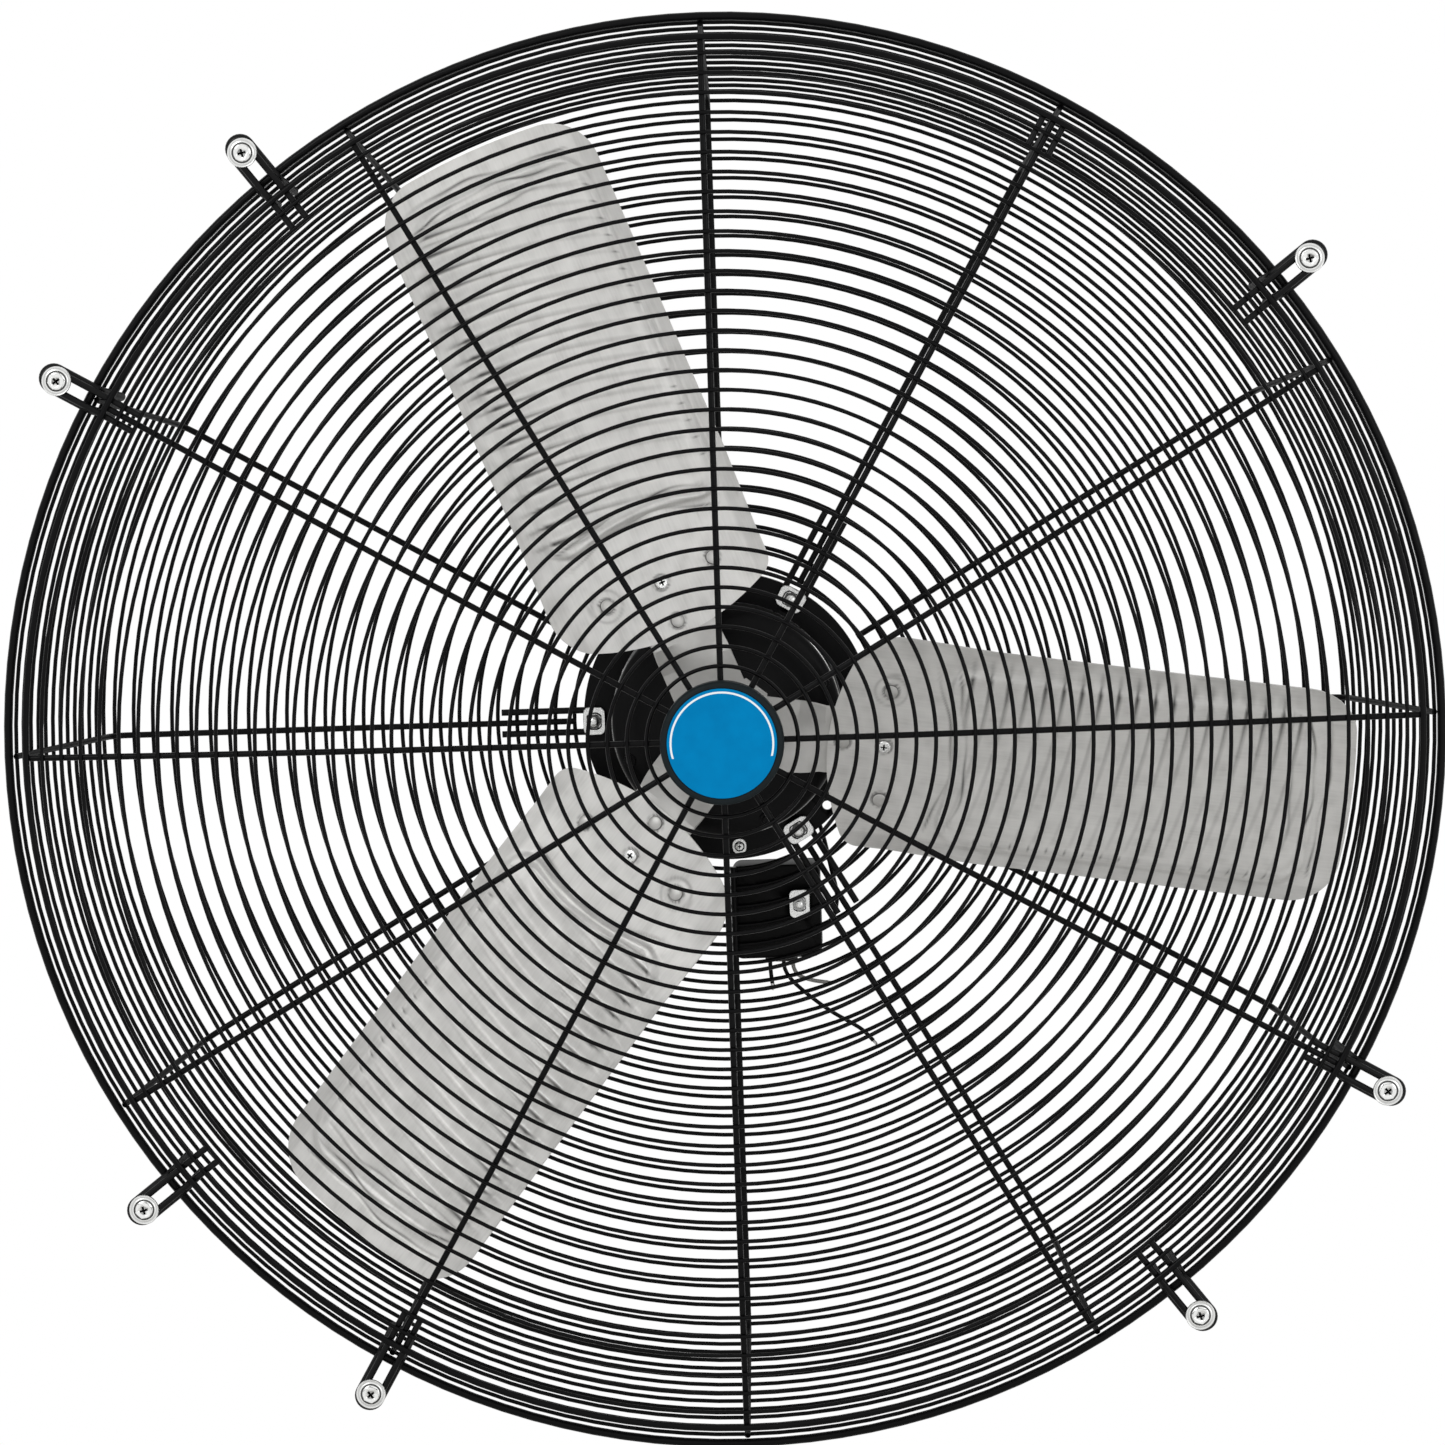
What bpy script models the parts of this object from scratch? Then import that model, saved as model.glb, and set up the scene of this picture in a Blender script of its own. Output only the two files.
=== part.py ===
"""Guard-mounted exhaust fan with a direct-drive motor.

The propeller turns about the Y axis. The room side, with the domed front guard, looks towards -Y,
and the wire basket with the motor stands through the wall towards +Y. The plane Y = 0 is the wall
face that the mounting loops are screwed against. Lengths are in metres, and +Z is up.
"""
import math

import bmesh
import bpy
from mathutils import Matrix, Vector

# Fits shared by the whole fan
SEAT_GAP = 0.0003
RUNNING_CLEARANCE = 0.0001
WELD_SINK = 0.0003
CUT_OVERRUN = 0.002

# Guard wires
RING_WIRE = 0.003
SPOKE_WIRE = 0.0045
FRONT_HOOP_WIRE = 0.005
REAR_HOOP_WIRE = 0.00635
FRONT_LOOP_WIRE = 0.0048
REAR_LOOP_WIRE = 0.00635
SPOKE_COUNT = 12
WELDED_SPOKE_COUNT = 3
WELDED_SPOKE_ANGLE = math.radians(90)
RING_SAG = 0.0045
RIM_RING_SIDES = 4 * SPOKE_COUNT
WIRE_SIDES = 6

# Propeller
TIP_RADIUS = 0.457
BLADE_COUNT = 3
BLADE_ANGLE = math.radians(111.5)
BLADE_PITCH = math.radians(22)
BLADE_THICKNESS = 0.0016
BLADE_OVERLAP = 0.053
BLADE_LEAD_WIDTH = 0.0905
BLADE_TRAIL_WIDTH = 0.083
BLADE_CAMBER = 0.006
BLADE_PANEL_HEIGHT = 0.003
BLADE_ROOT_SWEEP = 0.022
BLADE_TIP_ROUND = 0.032
BLADE_ROOT_ROUND = 0.009
BLADE_PANEL_INSET = 0.016
BLADE_PANEL_BORDER = 0.004
CAMBER_RUN = 0.060
ARM_WIDTH = 0.054
ARM_THICKNESS = 0.003
ARM_LENGTH = 0.128
ARM_FLARE_RUN = 0.011
ARM_HEAD_DEPTH = 0.031
ARM_HEAD_LEAD = 0.058
ARM_HEAD_TRAIL = 0.052
ARM_HEAD_CORNER = 0.008
HUB_RADIUS = 0.029
HUB_LENGTH = 0.034
RIVET_SHANK_RADIUS = 0.0026
RIVET_HEAD_RADIUS = 0.0051
RIVET_HEAD_HEIGHT = 0.0022
SET_SCREW_RADIUS = 0.0032

# Rear guard basket
TIP_TO_HOOP = 0.060
BASKET_TAPER = 0.062
BASKET_DEPTH = 0.1415
REAR_RING_PITCH = 0.01413
SIDE_RING_PITCH = 0.0110
FLANGE_TO_GUARD = 0.007
WALL_TO_PROP = 0.050

# Front guard
HOOP_STEP = 0.014
FRONT_RING_PITCH = 0.0141
FRONT_FIRST_RING_RADIUS = 0.0543
FRONT_DOME_HEIGHT = 0.035
HUB_RING_RADIUS = 0.030

# Mounting loops and their screws
SCREW_OVERHANG = 0.026
LOOP_END_SLACK = 0.003
REAR_LOOP_PLAY = 0.00315
FRONT_LOOP_PLAY = 0.0017
LOOP_DIP = 0.0003
LOOP_SEAT_RUN = 0.002
RIM_HAIRPIN_PITCH = 0.016
REAR_LEG_DROP = 0.035
FRONT_LEG_REACH = 0.026
LOOP_ANGLES = [math.radians(a) for a in (37.5, 127.5, 217.5, 307.5, 150, 240, 330)]
RIM_HAIRPIN_ANGLE = math.radians(60)
WASHER_RADIUS = 0.0107
WASHER_THICKNESS = 0.0016
SCREW_RADIUS = 0.003
SCREW_HEAD_RADIUS = 0.0059
SCREW_HEAD_HEIGHT = 0.0042
SCREW_REACH = 0.024
SCREW_POINT = 0.006

# Motor
FLANGE_WIDTH = 0.022
FLANGE_THICKNESS = 0.006
SHELL_RADIUS = 0.084
SHELL_WALL = 0.0025
MOTOR_LENGTH = 0.118
SHIELD_WALL = 0.004
DOME_HEIGHT = 0.012
BEARING_RADIUS = 0.020
BEARING_WIDTH = 0.012
BEARING_WALL = 0.004
BEARING_LIP = 0.002
BOSS_HEIGHT = 0.006
SHAFT_RADIUS = 0.008
SHAFT_NOSE = 0.004
AIR_GAP = 0.0008
STATOR_DEPTH = 0.0355
WINDING_SLEEVE = 0.003
WINDING_INSET = 0.0125
END_TURN_LENGTH = 0.012
END_TURN_ROOM = 0.0004
PROP_TO_MOTOR = 0.034

# Motor lugs
LUG_OVERHANG = 0.0143
LUG_ANGLES = [math.radians(a) for a in (60, 180, 300)]
LUG_BOLT_RADIUS = 0.0031
LUG_NUT_RADIUS = 0.0062
LUG_NUT_HEIGHT = 0.005
LUG_BOLT_HEAD_HEIGHT = 0.004
LUG_WASHER_LENGTH = 0.016
LUG_WASHER_WIDTH = 0.0205
LUG_WASHER_THICKNESS = 0.002
HAIRPIN_WIRE = 0.0048
HAIRPIN_PLAY = 0.005
HAIRPIN_REACH = 0.068
SPARE_HOLE_RADIUS = 0.0035
SPARE_HOLE_ANGLE = math.radians(-44)

# Hub cap on the front guard
CAP_RADIUS = 0.0445
CAP_DEPTH = 0.014
CAP_WALL = 0.0025
CAP_EDGE_ROUND = 0.003
CAP_RIM = 0.005
BADGE_THICKNESS = 0.0009
CAP_POST_RADIUS = 0.006
CAP_SCREW_RADIUS = 0.002
CAP_SCREW_HEAD_RADIUS = 0.004
CAP_SCREW_HEAD_HEIGHT = 0.0025
CAP_SCREW_LENGTH = 0.012
PLATE_INSET = 0.001
PLATE_THICKNESS = 0.002

# Junction box and its leads
BOX_WIDTH = 0.065
BOX_HEIGHT = 0.069
BOX_DEPTH = 0.040
BOX_WALL = 0.002
BOX_CORNER_RADIUS = 0.007
BOX_X = 0.031
BOX_TO_FLANGE = 0.0055
BOX_COVER_THICKNESS = 0.0015
CLAMP_BOLT_RADIUS = 0.0024
CLAMP_ANGLE = math.radians(-71.1)
CLAMP_WASHER_WIDTH = 0.015
CLAMP_WASHER_HEIGHT = 0.021
CLAMP_WASHER_THICKNESS = 0.002
CLAMP_NUT_RADIUS = 0.0052
CLAMP_NUT_HEIGHT = 0.004
CLAMP_HEAD_HEIGHT = 0.003
LEAD_DIAMETER = 0.003
BUSHING_RADIUS = 0.012
BUSHING_LENGTH = 0.004
BUSHING_OFFSET = 0.002

# Places worked out from the sizes above
REAR_HOOP_RADIUS = TIP_RADIUS + TIP_TO_HOOP
REAR_BEND_RADIUS = REAR_HOOP_RADIUS - BASKET_TAPER
FRONT_HOOP_RADIUS = REAR_HOOP_RADIUS - HOOP_STEP
FLANGE_RADIUS = SHELL_RADIUS + FLANGE_WIDTH
REAR_INNER_RADIUS = FLANGE_RADIUS + FLANGE_TO_GUARD
SCREW_CIRCLE_RADIUS = REAR_HOOP_RADIUS + SCREW_OVERHANG
LOOP_CENTRE_RADIUS = SCREW_CIRCLE_RADIUS + LOOP_END_SLACK
REAR_LOOP_PITCH = 2 * SCREW_RADIUS + REAR_LOOP_PLAY + REAR_LOOP_WIRE
FRONT_LOOP_PITCH = 2 * SCREW_RADIUS + FRONT_LOOP_PLAY + FRONT_LOOP_WIRE

REAR_LOOP_Y = -REAR_LOOP_WIRE / 2
REAR_HOOP_Y = REAR_LOOP_Y + REAR_LOOP_WIRE / 2 + SEAT_GAP + REAR_HOOP_WIRE / 2
REAR_DISC_Y = REAR_HOOP_Y + BASKET_DEPTH
FRONT_LOOP_Y = -REAR_LOOP_WIRE - LOOP_DIP - SEAT_GAP - FRONT_LOOP_WIRE / 2
FRONT_HOOP_Y = FRONT_LOOP_Y - FRONT_LOOP_WIRE / 2 + WELD_SINK - FRONT_HOOP_WIRE / 2
WASHER_BACK_Y = FRONT_LOOP_Y - FRONT_LOOP_WIRE / 2 - SEAT_GAP
WASHER_FRONT_Y = WASHER_BACK_Y - WASHER_THICKNESS
SCREW_SEAT_Y = WASHER_FRONT_Y - SEAT_GAP

HAIRPIN_Y = REAR_DISC_Y - RING_WIRE / 2 - SEAT_GAP - HAIRPIN_WIRE / 2
FLANGE_FRONT_Y = HAIRPIN_Y + HAIRPIN_WIRE / 2 + SEAT_GAP
FLANGE_BACK_Y = FLANGE_FRONT_Y + FLANGE_THICKNESS
PROP_Y = WALL_TO_PROP
MOTOR_FRONT_Y = PROP_Y + PROP_TO_MOTOR
MOTOR_BACK_Y = MOTOR_FRONT_Y + MOTOR_LENGTH
LUG_WASHER_BACK_Y = HAIRPIN_Y - HAIRPIN_WIRE / 2 - SEAT_GAP
LUG_WASHER_FRONT_Y = LUG_WASHER_BACK_Y - LUG_WASHER_THICKNESS

SHELL_BORE = SHELL_RADIUS - SHELL_WALL
WINDING_RADIUS = SHELL_BORE - WINDING_INSET
ROTOR_RADIUS = SHELL_BORE - STATOR_DEPTH
LUG_CIRCLE_RADIUS = SHELL_RADIUS + LUG_OVERHANG
HAIRPIN_PITCH = 2 * LUG_BOLT_RADIUS + HAIRPIN_PLAY + HAIRPIN_WIRE
BLADE_ROOT_RADIUS = ARM_LENGTH - BLADE_OVERLAP
ARM_HEAD_RADIUS = ARM_LENGTH - ARM_HEAD_DEPTH
ARM_FLARE_RADIUS = ARM_HEAD_RADIUS - ARM_FLARE_RUN
BADGE_RADIUS = CAP_RADIUS - CAP_RIM
PLATE_RADIUS = CAP_RADIUS - PLATE_INSET
BOX_Z = -(FLANGE_RADIUS + BOX_TO_FLANGE + BOX_HEIGHT / 2)
BUSHING_X = BOX_X + BUSHING_OFFSET

BASKET_SLOPE_LENGTH = math.hypot(BASKET_TAPER, BASKET_DEPTH)
SLOPE_OUT_SHARE = BASKET_TAPER / BASKET_SLOPE_LENGTH
SLOPE_FORWARD_SHARE = BASKET_DEPTH / BASKET_SLOPE_LENGTH
RIM_RADIUS = REAR_HOOP_RADIUS - (REAR_LEG_DROP + REAR_LOOP_WIRE) * SLOPE_OUT_SHARE


def make_material(name, colour, roughness, metallic):
    """A Principled material in a plain linear colour."""
    material = bpy.data.materials.new(name)
    material.use_nodes = True
    shader = material.node_tree.nodes["Principled BSDF"]
    shader.inputs["Base Color"].default_value = (*colour, 1)
    shader.inputs["Roughness"].default_value = roughness
    shader.inputs["Metallic"].default_value = metallic
    material.diffuse_color = (*colour, 1)
    return material


def add_object(name, bm, material, parent=None):
    """Close the bmesh off as one named object, faces pointing out."""
    bmesh.ops.recalc_face_normals(bm, faces=bm.faces)
    mesh = bpy.data.meshes.new(name)
    bm.to_mesh(mesh)
    bm.free()
    mesh.materials.append(material)
    mesh.shade_smooth()
    mesh.set_sharp_from_angle(angle=math.radians(40))
    made = bpy.data.objects.new(name, mesh)
    bpy.context.collection.objects.link(made)
    made.parent = parent
    return made


def add_empty(name, place):
    """An empty that a group of pieces turns about."""
    empty = bpy.data.objects.new(name, None)
    empty.location = place
    bpy.context.collection.objects.link(empty)
    return empty


def apply_boolean(target, cutter, operation):
    """Join or cut the target with another object, then remove that object."""
    modifier = target.modifiers.new(operation.title(), "BOOLEAN")
    modifier.operation = operation
    modifier.solver = "EXACT"
    modifier.use_self = False
    modifier.object = cutter
    cutter.hide_render = True
    cutter.display_type = "WIRE"
    graph = bpy.context.evaluated_depsgraph_get()
    result = bpy.data.meshes.new_from_object(target.evaluated_get(graph))
    target.modifiers.remove(modifier)
    target.data = result
    result.shade_smooth()
    result.set_sharp_from_angle(angle=math.radians(40))
    bpy.data.objects.remove(cutter)


def round_place(radius, angle, y, sideways=0.0):
    """A point at a radius and angle about the Y axis, moved sideways along the circle's tangent."""
    return Vector((
        radius * math.cos(angle) - sideways * math.sin(angle),
        y,
        radius * math.sin(angle) + sideways * math.cos(angle),
    ))


def lathe(profile, sides, turn=0.0):
    """A closed solid turned about Y from (radius, y) points; points on the axis close the ends."""
    bm = bmesh.new()
    rows = []
    for radius, y in profile:
        if radius == 0:
            rows.append([bm.verts.new((0, y, 0))])
        else:
            rows.append([
                bm.verts.new(round_place(radius, turn + math.tau * i / sides, y)) for i in range(sides)
            ])
    last = len(rows) if profile[0][0] != 0 else len(rows) - 1
    for index in range(last):
        here, there = rows[index], rows[(index + 1) % len(rows)]
        for i in range(sides):
            j = (i + 1) % sides
            if len(here) == 1:
                bm.faces.new((here[0], there[j], there[i]))
            elif len(there) == 1:
                bm.faces.new((here[i], here[j], there[0]))
            else:
                bm.faces.new((here[i], here[j], there[j], there[i]))
    return bm


def hole_radius(radius, sides):
    """Corner radius of a faceted hole whose flats stand at the given radius."""
    return radius / math.cos(math.pi / sides)


def chord_drop(half_width, sides):
    """How far a faceted ring falls inside its circle within a half width of a corner."""
    return half_width * math.tan(math.pi / sides)


def box_mesh(low, high):
    """A rectangular block between two corners."""
    bm = bmesh.new()
    bmesh.ops.create_cube(bm, size=1)
    size = [high[i] - low[i] for i in range(3)]
    centre = [(high[i] + low[i]) / 2 for i in range(3)]
    bmesh.ops.scale(bm, vec=size, verts=bm.verts)
    bmesh.ops.translate(bm, vec=centre, verts=bm.verts)
    return bm


def sweep(points, diameter, lift, sides=WIRE_SIDES):
    """A wire along a path, its section carried from bend to bend with two flats square to the lift."""
    bm = bmesh.new()
    corner = hole_radius(diameter / 2, sides)
    runs = [(there - here).normalized() for here, there in zip(points, points[1:])]
    rows = []
    heading = runs[0]
    for index, point in enumerate(points):
        along = (runs[max(index - 1, 0)] + runs[min(index, len(runs) - 1)]).normalized()
        lift = heading.rotation_difference(along) @ lift
        heading = along
        side = along.cross(lift).normalized()
        lift = side.cross(along).normalized()
        row = []
        for k in range(sides):
            angle = math.tau * (k + 0.5) / sides
            row.append(bm.verts.new(point + corner * (math.cos(angle) * lift + math.sin(angle) * side)))
        rows.append(row)
    for here, there in zip(rows, rows[1:]):
        for k in range(sides):
            m = (k + 1) % sides
            bm.faces.new((here[k], here[m], there[m], there[k]))
    bm.faces.new(rows[0])
    bm.faces.new(list(reversed(rows[-1])))
    return bm


def turned_to(angle, points):
    """Move (radius, sideways, y) points to an angle about the Y axis."""
    return [round_place(radius, angle, y, sideways) for radius, sideways, y in points]


class GuardRing:
    """One ring of a guard: its centre line, its wire, and the direction of its inner side."""

    def __init__(self, radius, y, wire, out=(1.0, 0.0), inward=(0.0, 1.0)):
        self.radius = radius
        self.y = y
        self.wire = wire
        self.out = out
        self.inward = inward
        self.sides = ring_sides(radius)

    def point(self, along, depth):
        """The (radius, y) point at a distance along the guard's surface and into it."""
        return (
            self.radius + along * self.out[0] + depth * self.inward[0],
            self.y + along * self.out[1] + depth * self.inward[1],
        )


def ring_sides(radius):
    """Sides of a ring, with a corner at every spoke and no side far inside the ring's circle."""
    if radius > RIM_RADIUS:
        return RIM_RING_SIDES
    fewest = math.pi / math.acos(1 - RING_SAG / radius)
    return SPOKE_COUNT * math.ceil(fewest / SPOKE_COUNT)


def spoke_angles():
    """All spoke angles, and those of the spokes that run flush with the rings."""
    every = [WELDED_SPOKE_ANGLE + math.tau * i / SPOKE_COUNT for i in range(SPOKE_COUNT)]
    step = SPOKE_COUNT // WELDED_SPOKE_COUNT
    return every, every[::step]


def ring_sections(bm, ring, joints):
    """Corner vertices of one ring: joint sections at the given angles, plain ones between them."""
    half = ring.wire / 2
    spoke_half = SPOKE_WIRE / 2
    sides = ring.sides
    per_arc = sides // len(joints)
    start = joints[0]
    sections = []
    for i in range(sides):
        angle = start + math.tau * i / sides
        if i % per_arc:
            corners = [
                bm.verts.new(round_place(*place_order(ring.point(-half, -half), angle))),
                bm.verts.new(round_place(*place_order(ring.point(half, -half), angle))),
                bm.verts.new(round_place(*place_order(ring.point(0, half), angle))),
            ]
            sections.append(("plain", corners))
            continue
        corners = []
        for along in (-half, half):
            for sideways in (-spoke_half, spoke_half):
                radius, y = ring.point(along, -half)
                corners.append(bm.verts.new(round_place(radius, angle, y, sideways)))
        corners.append(bm.verts.new(round_place(*place_order(ring.point(0, half), angle))))
        bm.faces.new((corners[0], corners[1], corners[3], corners[2]))
        sections.append(("joint", corners))
    for i in range(sides):
        left = section_side(sections[i], True)
        right = section_side(sections[(i + 1) % sides], False)
        for a, b in ((0, 1), (1, 2), (2, 0)):
            bm.faces.new((left[a], left[b], right[b], right[a]))
    return {round(math.degrees(start + math.tau * i / sides)) % 360: corners
            for i, (kind, corners) in enumerate(sections) if kind == "joint"}


def place_order(point, angle):
    """Arguments of round_place for a (radius, y) point at an angle."""
    return point[0], angle, point[1]


def section_side(section, leaving):
    """The three corners of a section on the side that the next or the last arc meets."""
    kind, corners = section
    if kind == "plain":
        return corners
    return (corners[1], corners[3], corners[4]) if leaving else (corners[0], corners[2], corners[4])


def close_joint(bm, corners, outer):
    """Close a joint on the side where no spoke leaves it."""
    pair = (corners[2], corners[3]) if outer else (corners[0], corners[1])
    bm.faces.new((*pair, corners[4]))


def spoke_span(bm, start, end):
    """Three walls of a spoke between two rows of left, right and back corners."""
    for a, b in ((0, 1), (1, 2), (2, 0)):
        bm.faces.new((start[a], start[b], end[b], end[a]))


def guard_mesh(rings, path):
    """Rings and spokes as one body. The first and last rings meet every spoke, the others a few.

    The other spokes follow the path, a list of (radius, y, inward) places on the rings' inner side.
    """
    bm = bmesh.new()
    every, flush = spoke_angles()
    tables = []
    for index, ring in enumerate(rings):
        ends = index in (0, len(rings) - 1)
        tables.append(ring_sections(bm, ring, every if ends else flush))
    half = SPOKE_WIRE / 2
    for angle in every:
        key = round(math.degrees(angle)) % 360
        first, last = tables[0][key], tables[-1][key]
        close_joint(bm, first, False)
        close_joint(bm, last, True)
        if angle in flush:
            for here, there in zip(tables, tables[1:]):
                spoke_span(bm, here[key][2:5], (*there[key][0:2], there[key][4]))
            continue
        row = first[2:5]
        for radius, y, inward in path:
            back = (radius + SPOKE_WIRE * inward[0], y + SPOKE_WIRE * inward[1])
            section = [
                bm.verts.new(round_place(radius, angle, y, -half)),
                bm.verts.new(round_place(radius, angle, y, half)),
                bm.verts.new(round_place(*place_order(back, angle))),
            ]
            spoke_span(bm, row, section)
            row = section
        spoke_span(bm, row, (*last[0:2], last[4]))
    return bm


def dome_y(radius):
    """Height of the front guard's ring centres at a radius."""
    share = (radius / FRONT_HOOP_RADIUS) ** 2
    return FRONT_HOOP_Y - FRONT_DOME_HEIGHT * (1 - share)


def front_guard_rings():
    """The hub ring, the evenly spaced rings and the hoop of the front guard."""
    rings = [GuardRing(HUB_RING_RADIUS, dome_y(HUB_RING_RADIUS), RING_WIRE)]
    radius = FRONT_FIRST_RING_RADIUS
    limit = FRONT_HOOP_RADIUS - FRONT_HOOP_WIRE / 2 - SPOKE_WIRE - RING_WIRE / 2
    while radius < limit:
        rings.append(GuardRing(radius, dome_y(radius), RING_WIRE))
        radius += FRONT_RING_PITCH
    rings.append(GuardRing(FRONT_HOOP_RADIUS, FRONT_HOOP_Y, FRONT_HOOP_WIRE))
    return rings


def front_spoke_path(rings):
    """Places of a spoke that runs behind the rings of the front guard."""
    depth = RING_WIRE / 2 + SEAT_GAP
    inward = (0.0, 1.0)
    inner = (rings[0].radius + rings[1].radius) / 2
    outer = rings[-2].radius + RING_WIRE / 2
    steps = 6
    places = []
    for i in range(steps + 1):
        radius = inner + (outer - inner) * i / steps
        places.append((radius, dome_y(radius) + depth, inward))
    return places


def front_loop_points(pitch, outer_end):
    """A hairpin of the front guard, from one leg's inner end round the screw and back."""
    inner_radius = FRONT_HOOP_RADIUS - FRONT_LEG_REACH
    inner_y = dome_y(inner_radius) + RING_WIRE / 2 + SEAT_GAP + FRONT_LOOP_WIRE / 2
    half = pitch / 2
    leg = [(inner_radius, half, inner_y), (FRONT_HOOP_RADIUS - FRONT_HOOP_WIRE / 2, half, FRONT_LOOP_Y)]
    if not outer_end:
        leg.append((FRONT_HOOP_RADIUS + FRONT_HOOP_WIRE / 2, half, FRONT_LOOP_Y))
        return [leg]
    steps = 4
    bend = []
    for i in range(steps + 1):
        angle = math.pi / 2 - math.pi * i / steps
        bend.append((LOOP_CENTRE_RADIUS + half * math.cos(angle), half * math.sin(angle), FRONT_LOOP_Y))
    back = [(radius, -sideways, y) for radius, sideways, y in reversed(leg)]
    return [leg + bend + back]


def rear_loop_points():
    """A mounting loop of the basket: round the screw, over the hoop and down the basket's side."""
    half = REAR_LOOP_PITCH / 2
    wrap = REAR_HOOP_WIRE / 2 + SEAT_GAP + REAR_LOOP_WIRE / 2
    drop = chord_drop(half + REAR_LOOP_WIRE / 2, RIM_RING_SIDES)
    depth = RING_WIRE / 2 + SEAT_GAP + REAR_LOOP_WIRE / 2 + drop
    inward = (-SLOPE_FORWARD_SHARE, -SLOPE_OUT_SHARE)
    foot_radius = REAR_HOOP_RADIUS - REAR_LEG_DROP * SLOPE_OUT_SHARE
    foot_y = REAR_HOOP_Y + REAR_LEG_DROP * SLOPE_FORWARD_SHARE
    leg = [(foot_radius + depth * inward[0], half, foot_y + depth * inward[1])]
    full = math.acos(SLOPE_OUT_SHARE)
    over = (wrap + drop) / math.cos(full / 4)
    for angle in (full, full / 2):
        leg.append((REAR_HOOP_RADIUS - over * math.sin(angle), half, REAR_HOOP_Y - over * math.cos(angle)))
    leg.append((REAR_HOOP_RADIUS, half, REAR_LOOP_Y - LOOP_DIP))
    leg.append((REAR_HOOP_RADIUS + REAR_HOOP_WIRE / 2 + LOOP_SEAT_RUN, half, REAR_LOOP_Y))
    steps = 4
    bend = []
    for i in range(steps + 1):
        angle = math.pi / 2 - math.pi * i / steps
        bend.append((LOOP_CENTRE_RADIUS + half * math.cos(angle), half * math.sin(angle), REAR_LOOP_Y))
    back = [(radius, -sideways, y) for radius, sideways, y in reversed(leg)]
    return leg + bend + back


def leg_lift(angle):
    """The direction that the flats of a basket loop face at the foot of its first leg."""
    return round_place(SLOPE_FORWARD_SHARE, angle, SLOPE_OUT_SHARE)


def build_front_guard(material):
    """The domed front guard with the hairpins that are welded to it."""
    rings = front_guard_rings()
    guard = add_object("front_guard", guard_mesh(rings, front_spoke_path(rings)), material)
    pins = []
    for angle in LOOP_ANGLES:
        pins += [turned_to(angle, path) for path in front_loop_points(FRONT_LOOP_PITCH, True)]
    for path in front_loop_points(RIM_HAIRPIN_PITCH, False):
        for sign in (1, -1):
            leg = [(radius, sign * sideways, y) for radius, sideways, y in path]
            pins.append(turned_to(RIM_HAIRPIN_ANGLE, leg))
    for path in pins:
        pin = add_object("hairpin", sweep(path, FRONT_LOOP_WIRE, Vector((0, 1, 0))), material)
        apply_boolean(guard, pin, "UNION")
    return guard


def rear_guard_rings():
    """The rings of the basket's flat back and sloping side, and its hoop."""
    back = {"out": (1.0, 0.0), "inward": (0.0, -1.0)}
    side = {"out": (SLOPE_OUT_SHARE, -SLOPE_FORWARD_SHARE), "inward": (-SLOPE_FORWARD_SHARE, -SLOPE_OUT_SHARE)}
    rings = []
    radius = REAR_INNER_RADIUS
    limit = REAR_BEND_RADIUS - RING_WIRE / 2 - (RING_WIRE / 2 + SEAT_GAP) * (1 - SLOPE_OUT_SHARE)
    while radius < limit:
        rings.append(GuardRing(radius, REAR_DISC_Y, RING_WIRE, **back))
        radius += REAR_RING_PITCH
    run = SIDE_RING_PITCH
    while run < BASKET_SLOPE_LENGTH - REAR_HOOP_WIRE / 2 - SPOKE_WIRE - RING_WIRE / 2:
        rings.append(GuardRing(
            REAR_BEND_RADIUS + run * SLOPE_OUT_SHARE, REAR_DISC_Y - run * SLOPE_FORWARD_SHARE, RING_WIRE, **side,
        ))
        run += SIDE_RING_PITCH
    rings.append(GuardRing(REAR_HOOP_RADIUS, REAR_HOOP_Y, REAR_HOOP_WIRE, **side))
    return rings


def rear_spoke_path(rings):
    """Places of a spoke that runs inside the rings of the basket."""
    depth = RING_WIRE / 2 + SEAT_GAP
    side_depth = depth + chord_drop(SPOKE_WIRE / 2, ring_sides(REAR_BEND_RADIUS))
    back_inward = (0.0, -1.0)
    side_inward = (-SLOPE_FORWARD_SHARE, -SLOPE_OUT_SHARE)
    mitre = (1 - SLOPE_OUT_SHARE) / SLOPE_FORWARD_SHARE
    bend_inward = (-mitre, -1.0)
    bend_shift = (side_depth - depth * SLOPE_OUT_SHARE) / SLOPE_FORWARD_SHARE
    last = rings[-2]
    return [
        (rings[0].radius + REAR_RING_PITCH / 2, REAR_DISC_Y - depth, back_inward),
        (REAR_BEND_RADIUS - bend_shift, REAR_DISC_Y - depth, bend_inward),
        (*last.point(RING_WIRE / 2, side_depth), side_inward),
    ]


def build_rear_guard(material):
    """The wire basket and the mounting loops on its rim."""
    rings = rear_guard_rings()
    add_object("rear_guard", guard_mesh(rings, rear_spoke_path(rings)), material)
    for number, angle in enumerate(LOOP_ANGLES, 1):
        path = turned_to(angle, rear_loop_points())
        add_object(f"mount_loop_{number}", sweep(path, REAR_LOOP_WIRE, leg_lift(angle)), material)


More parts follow.
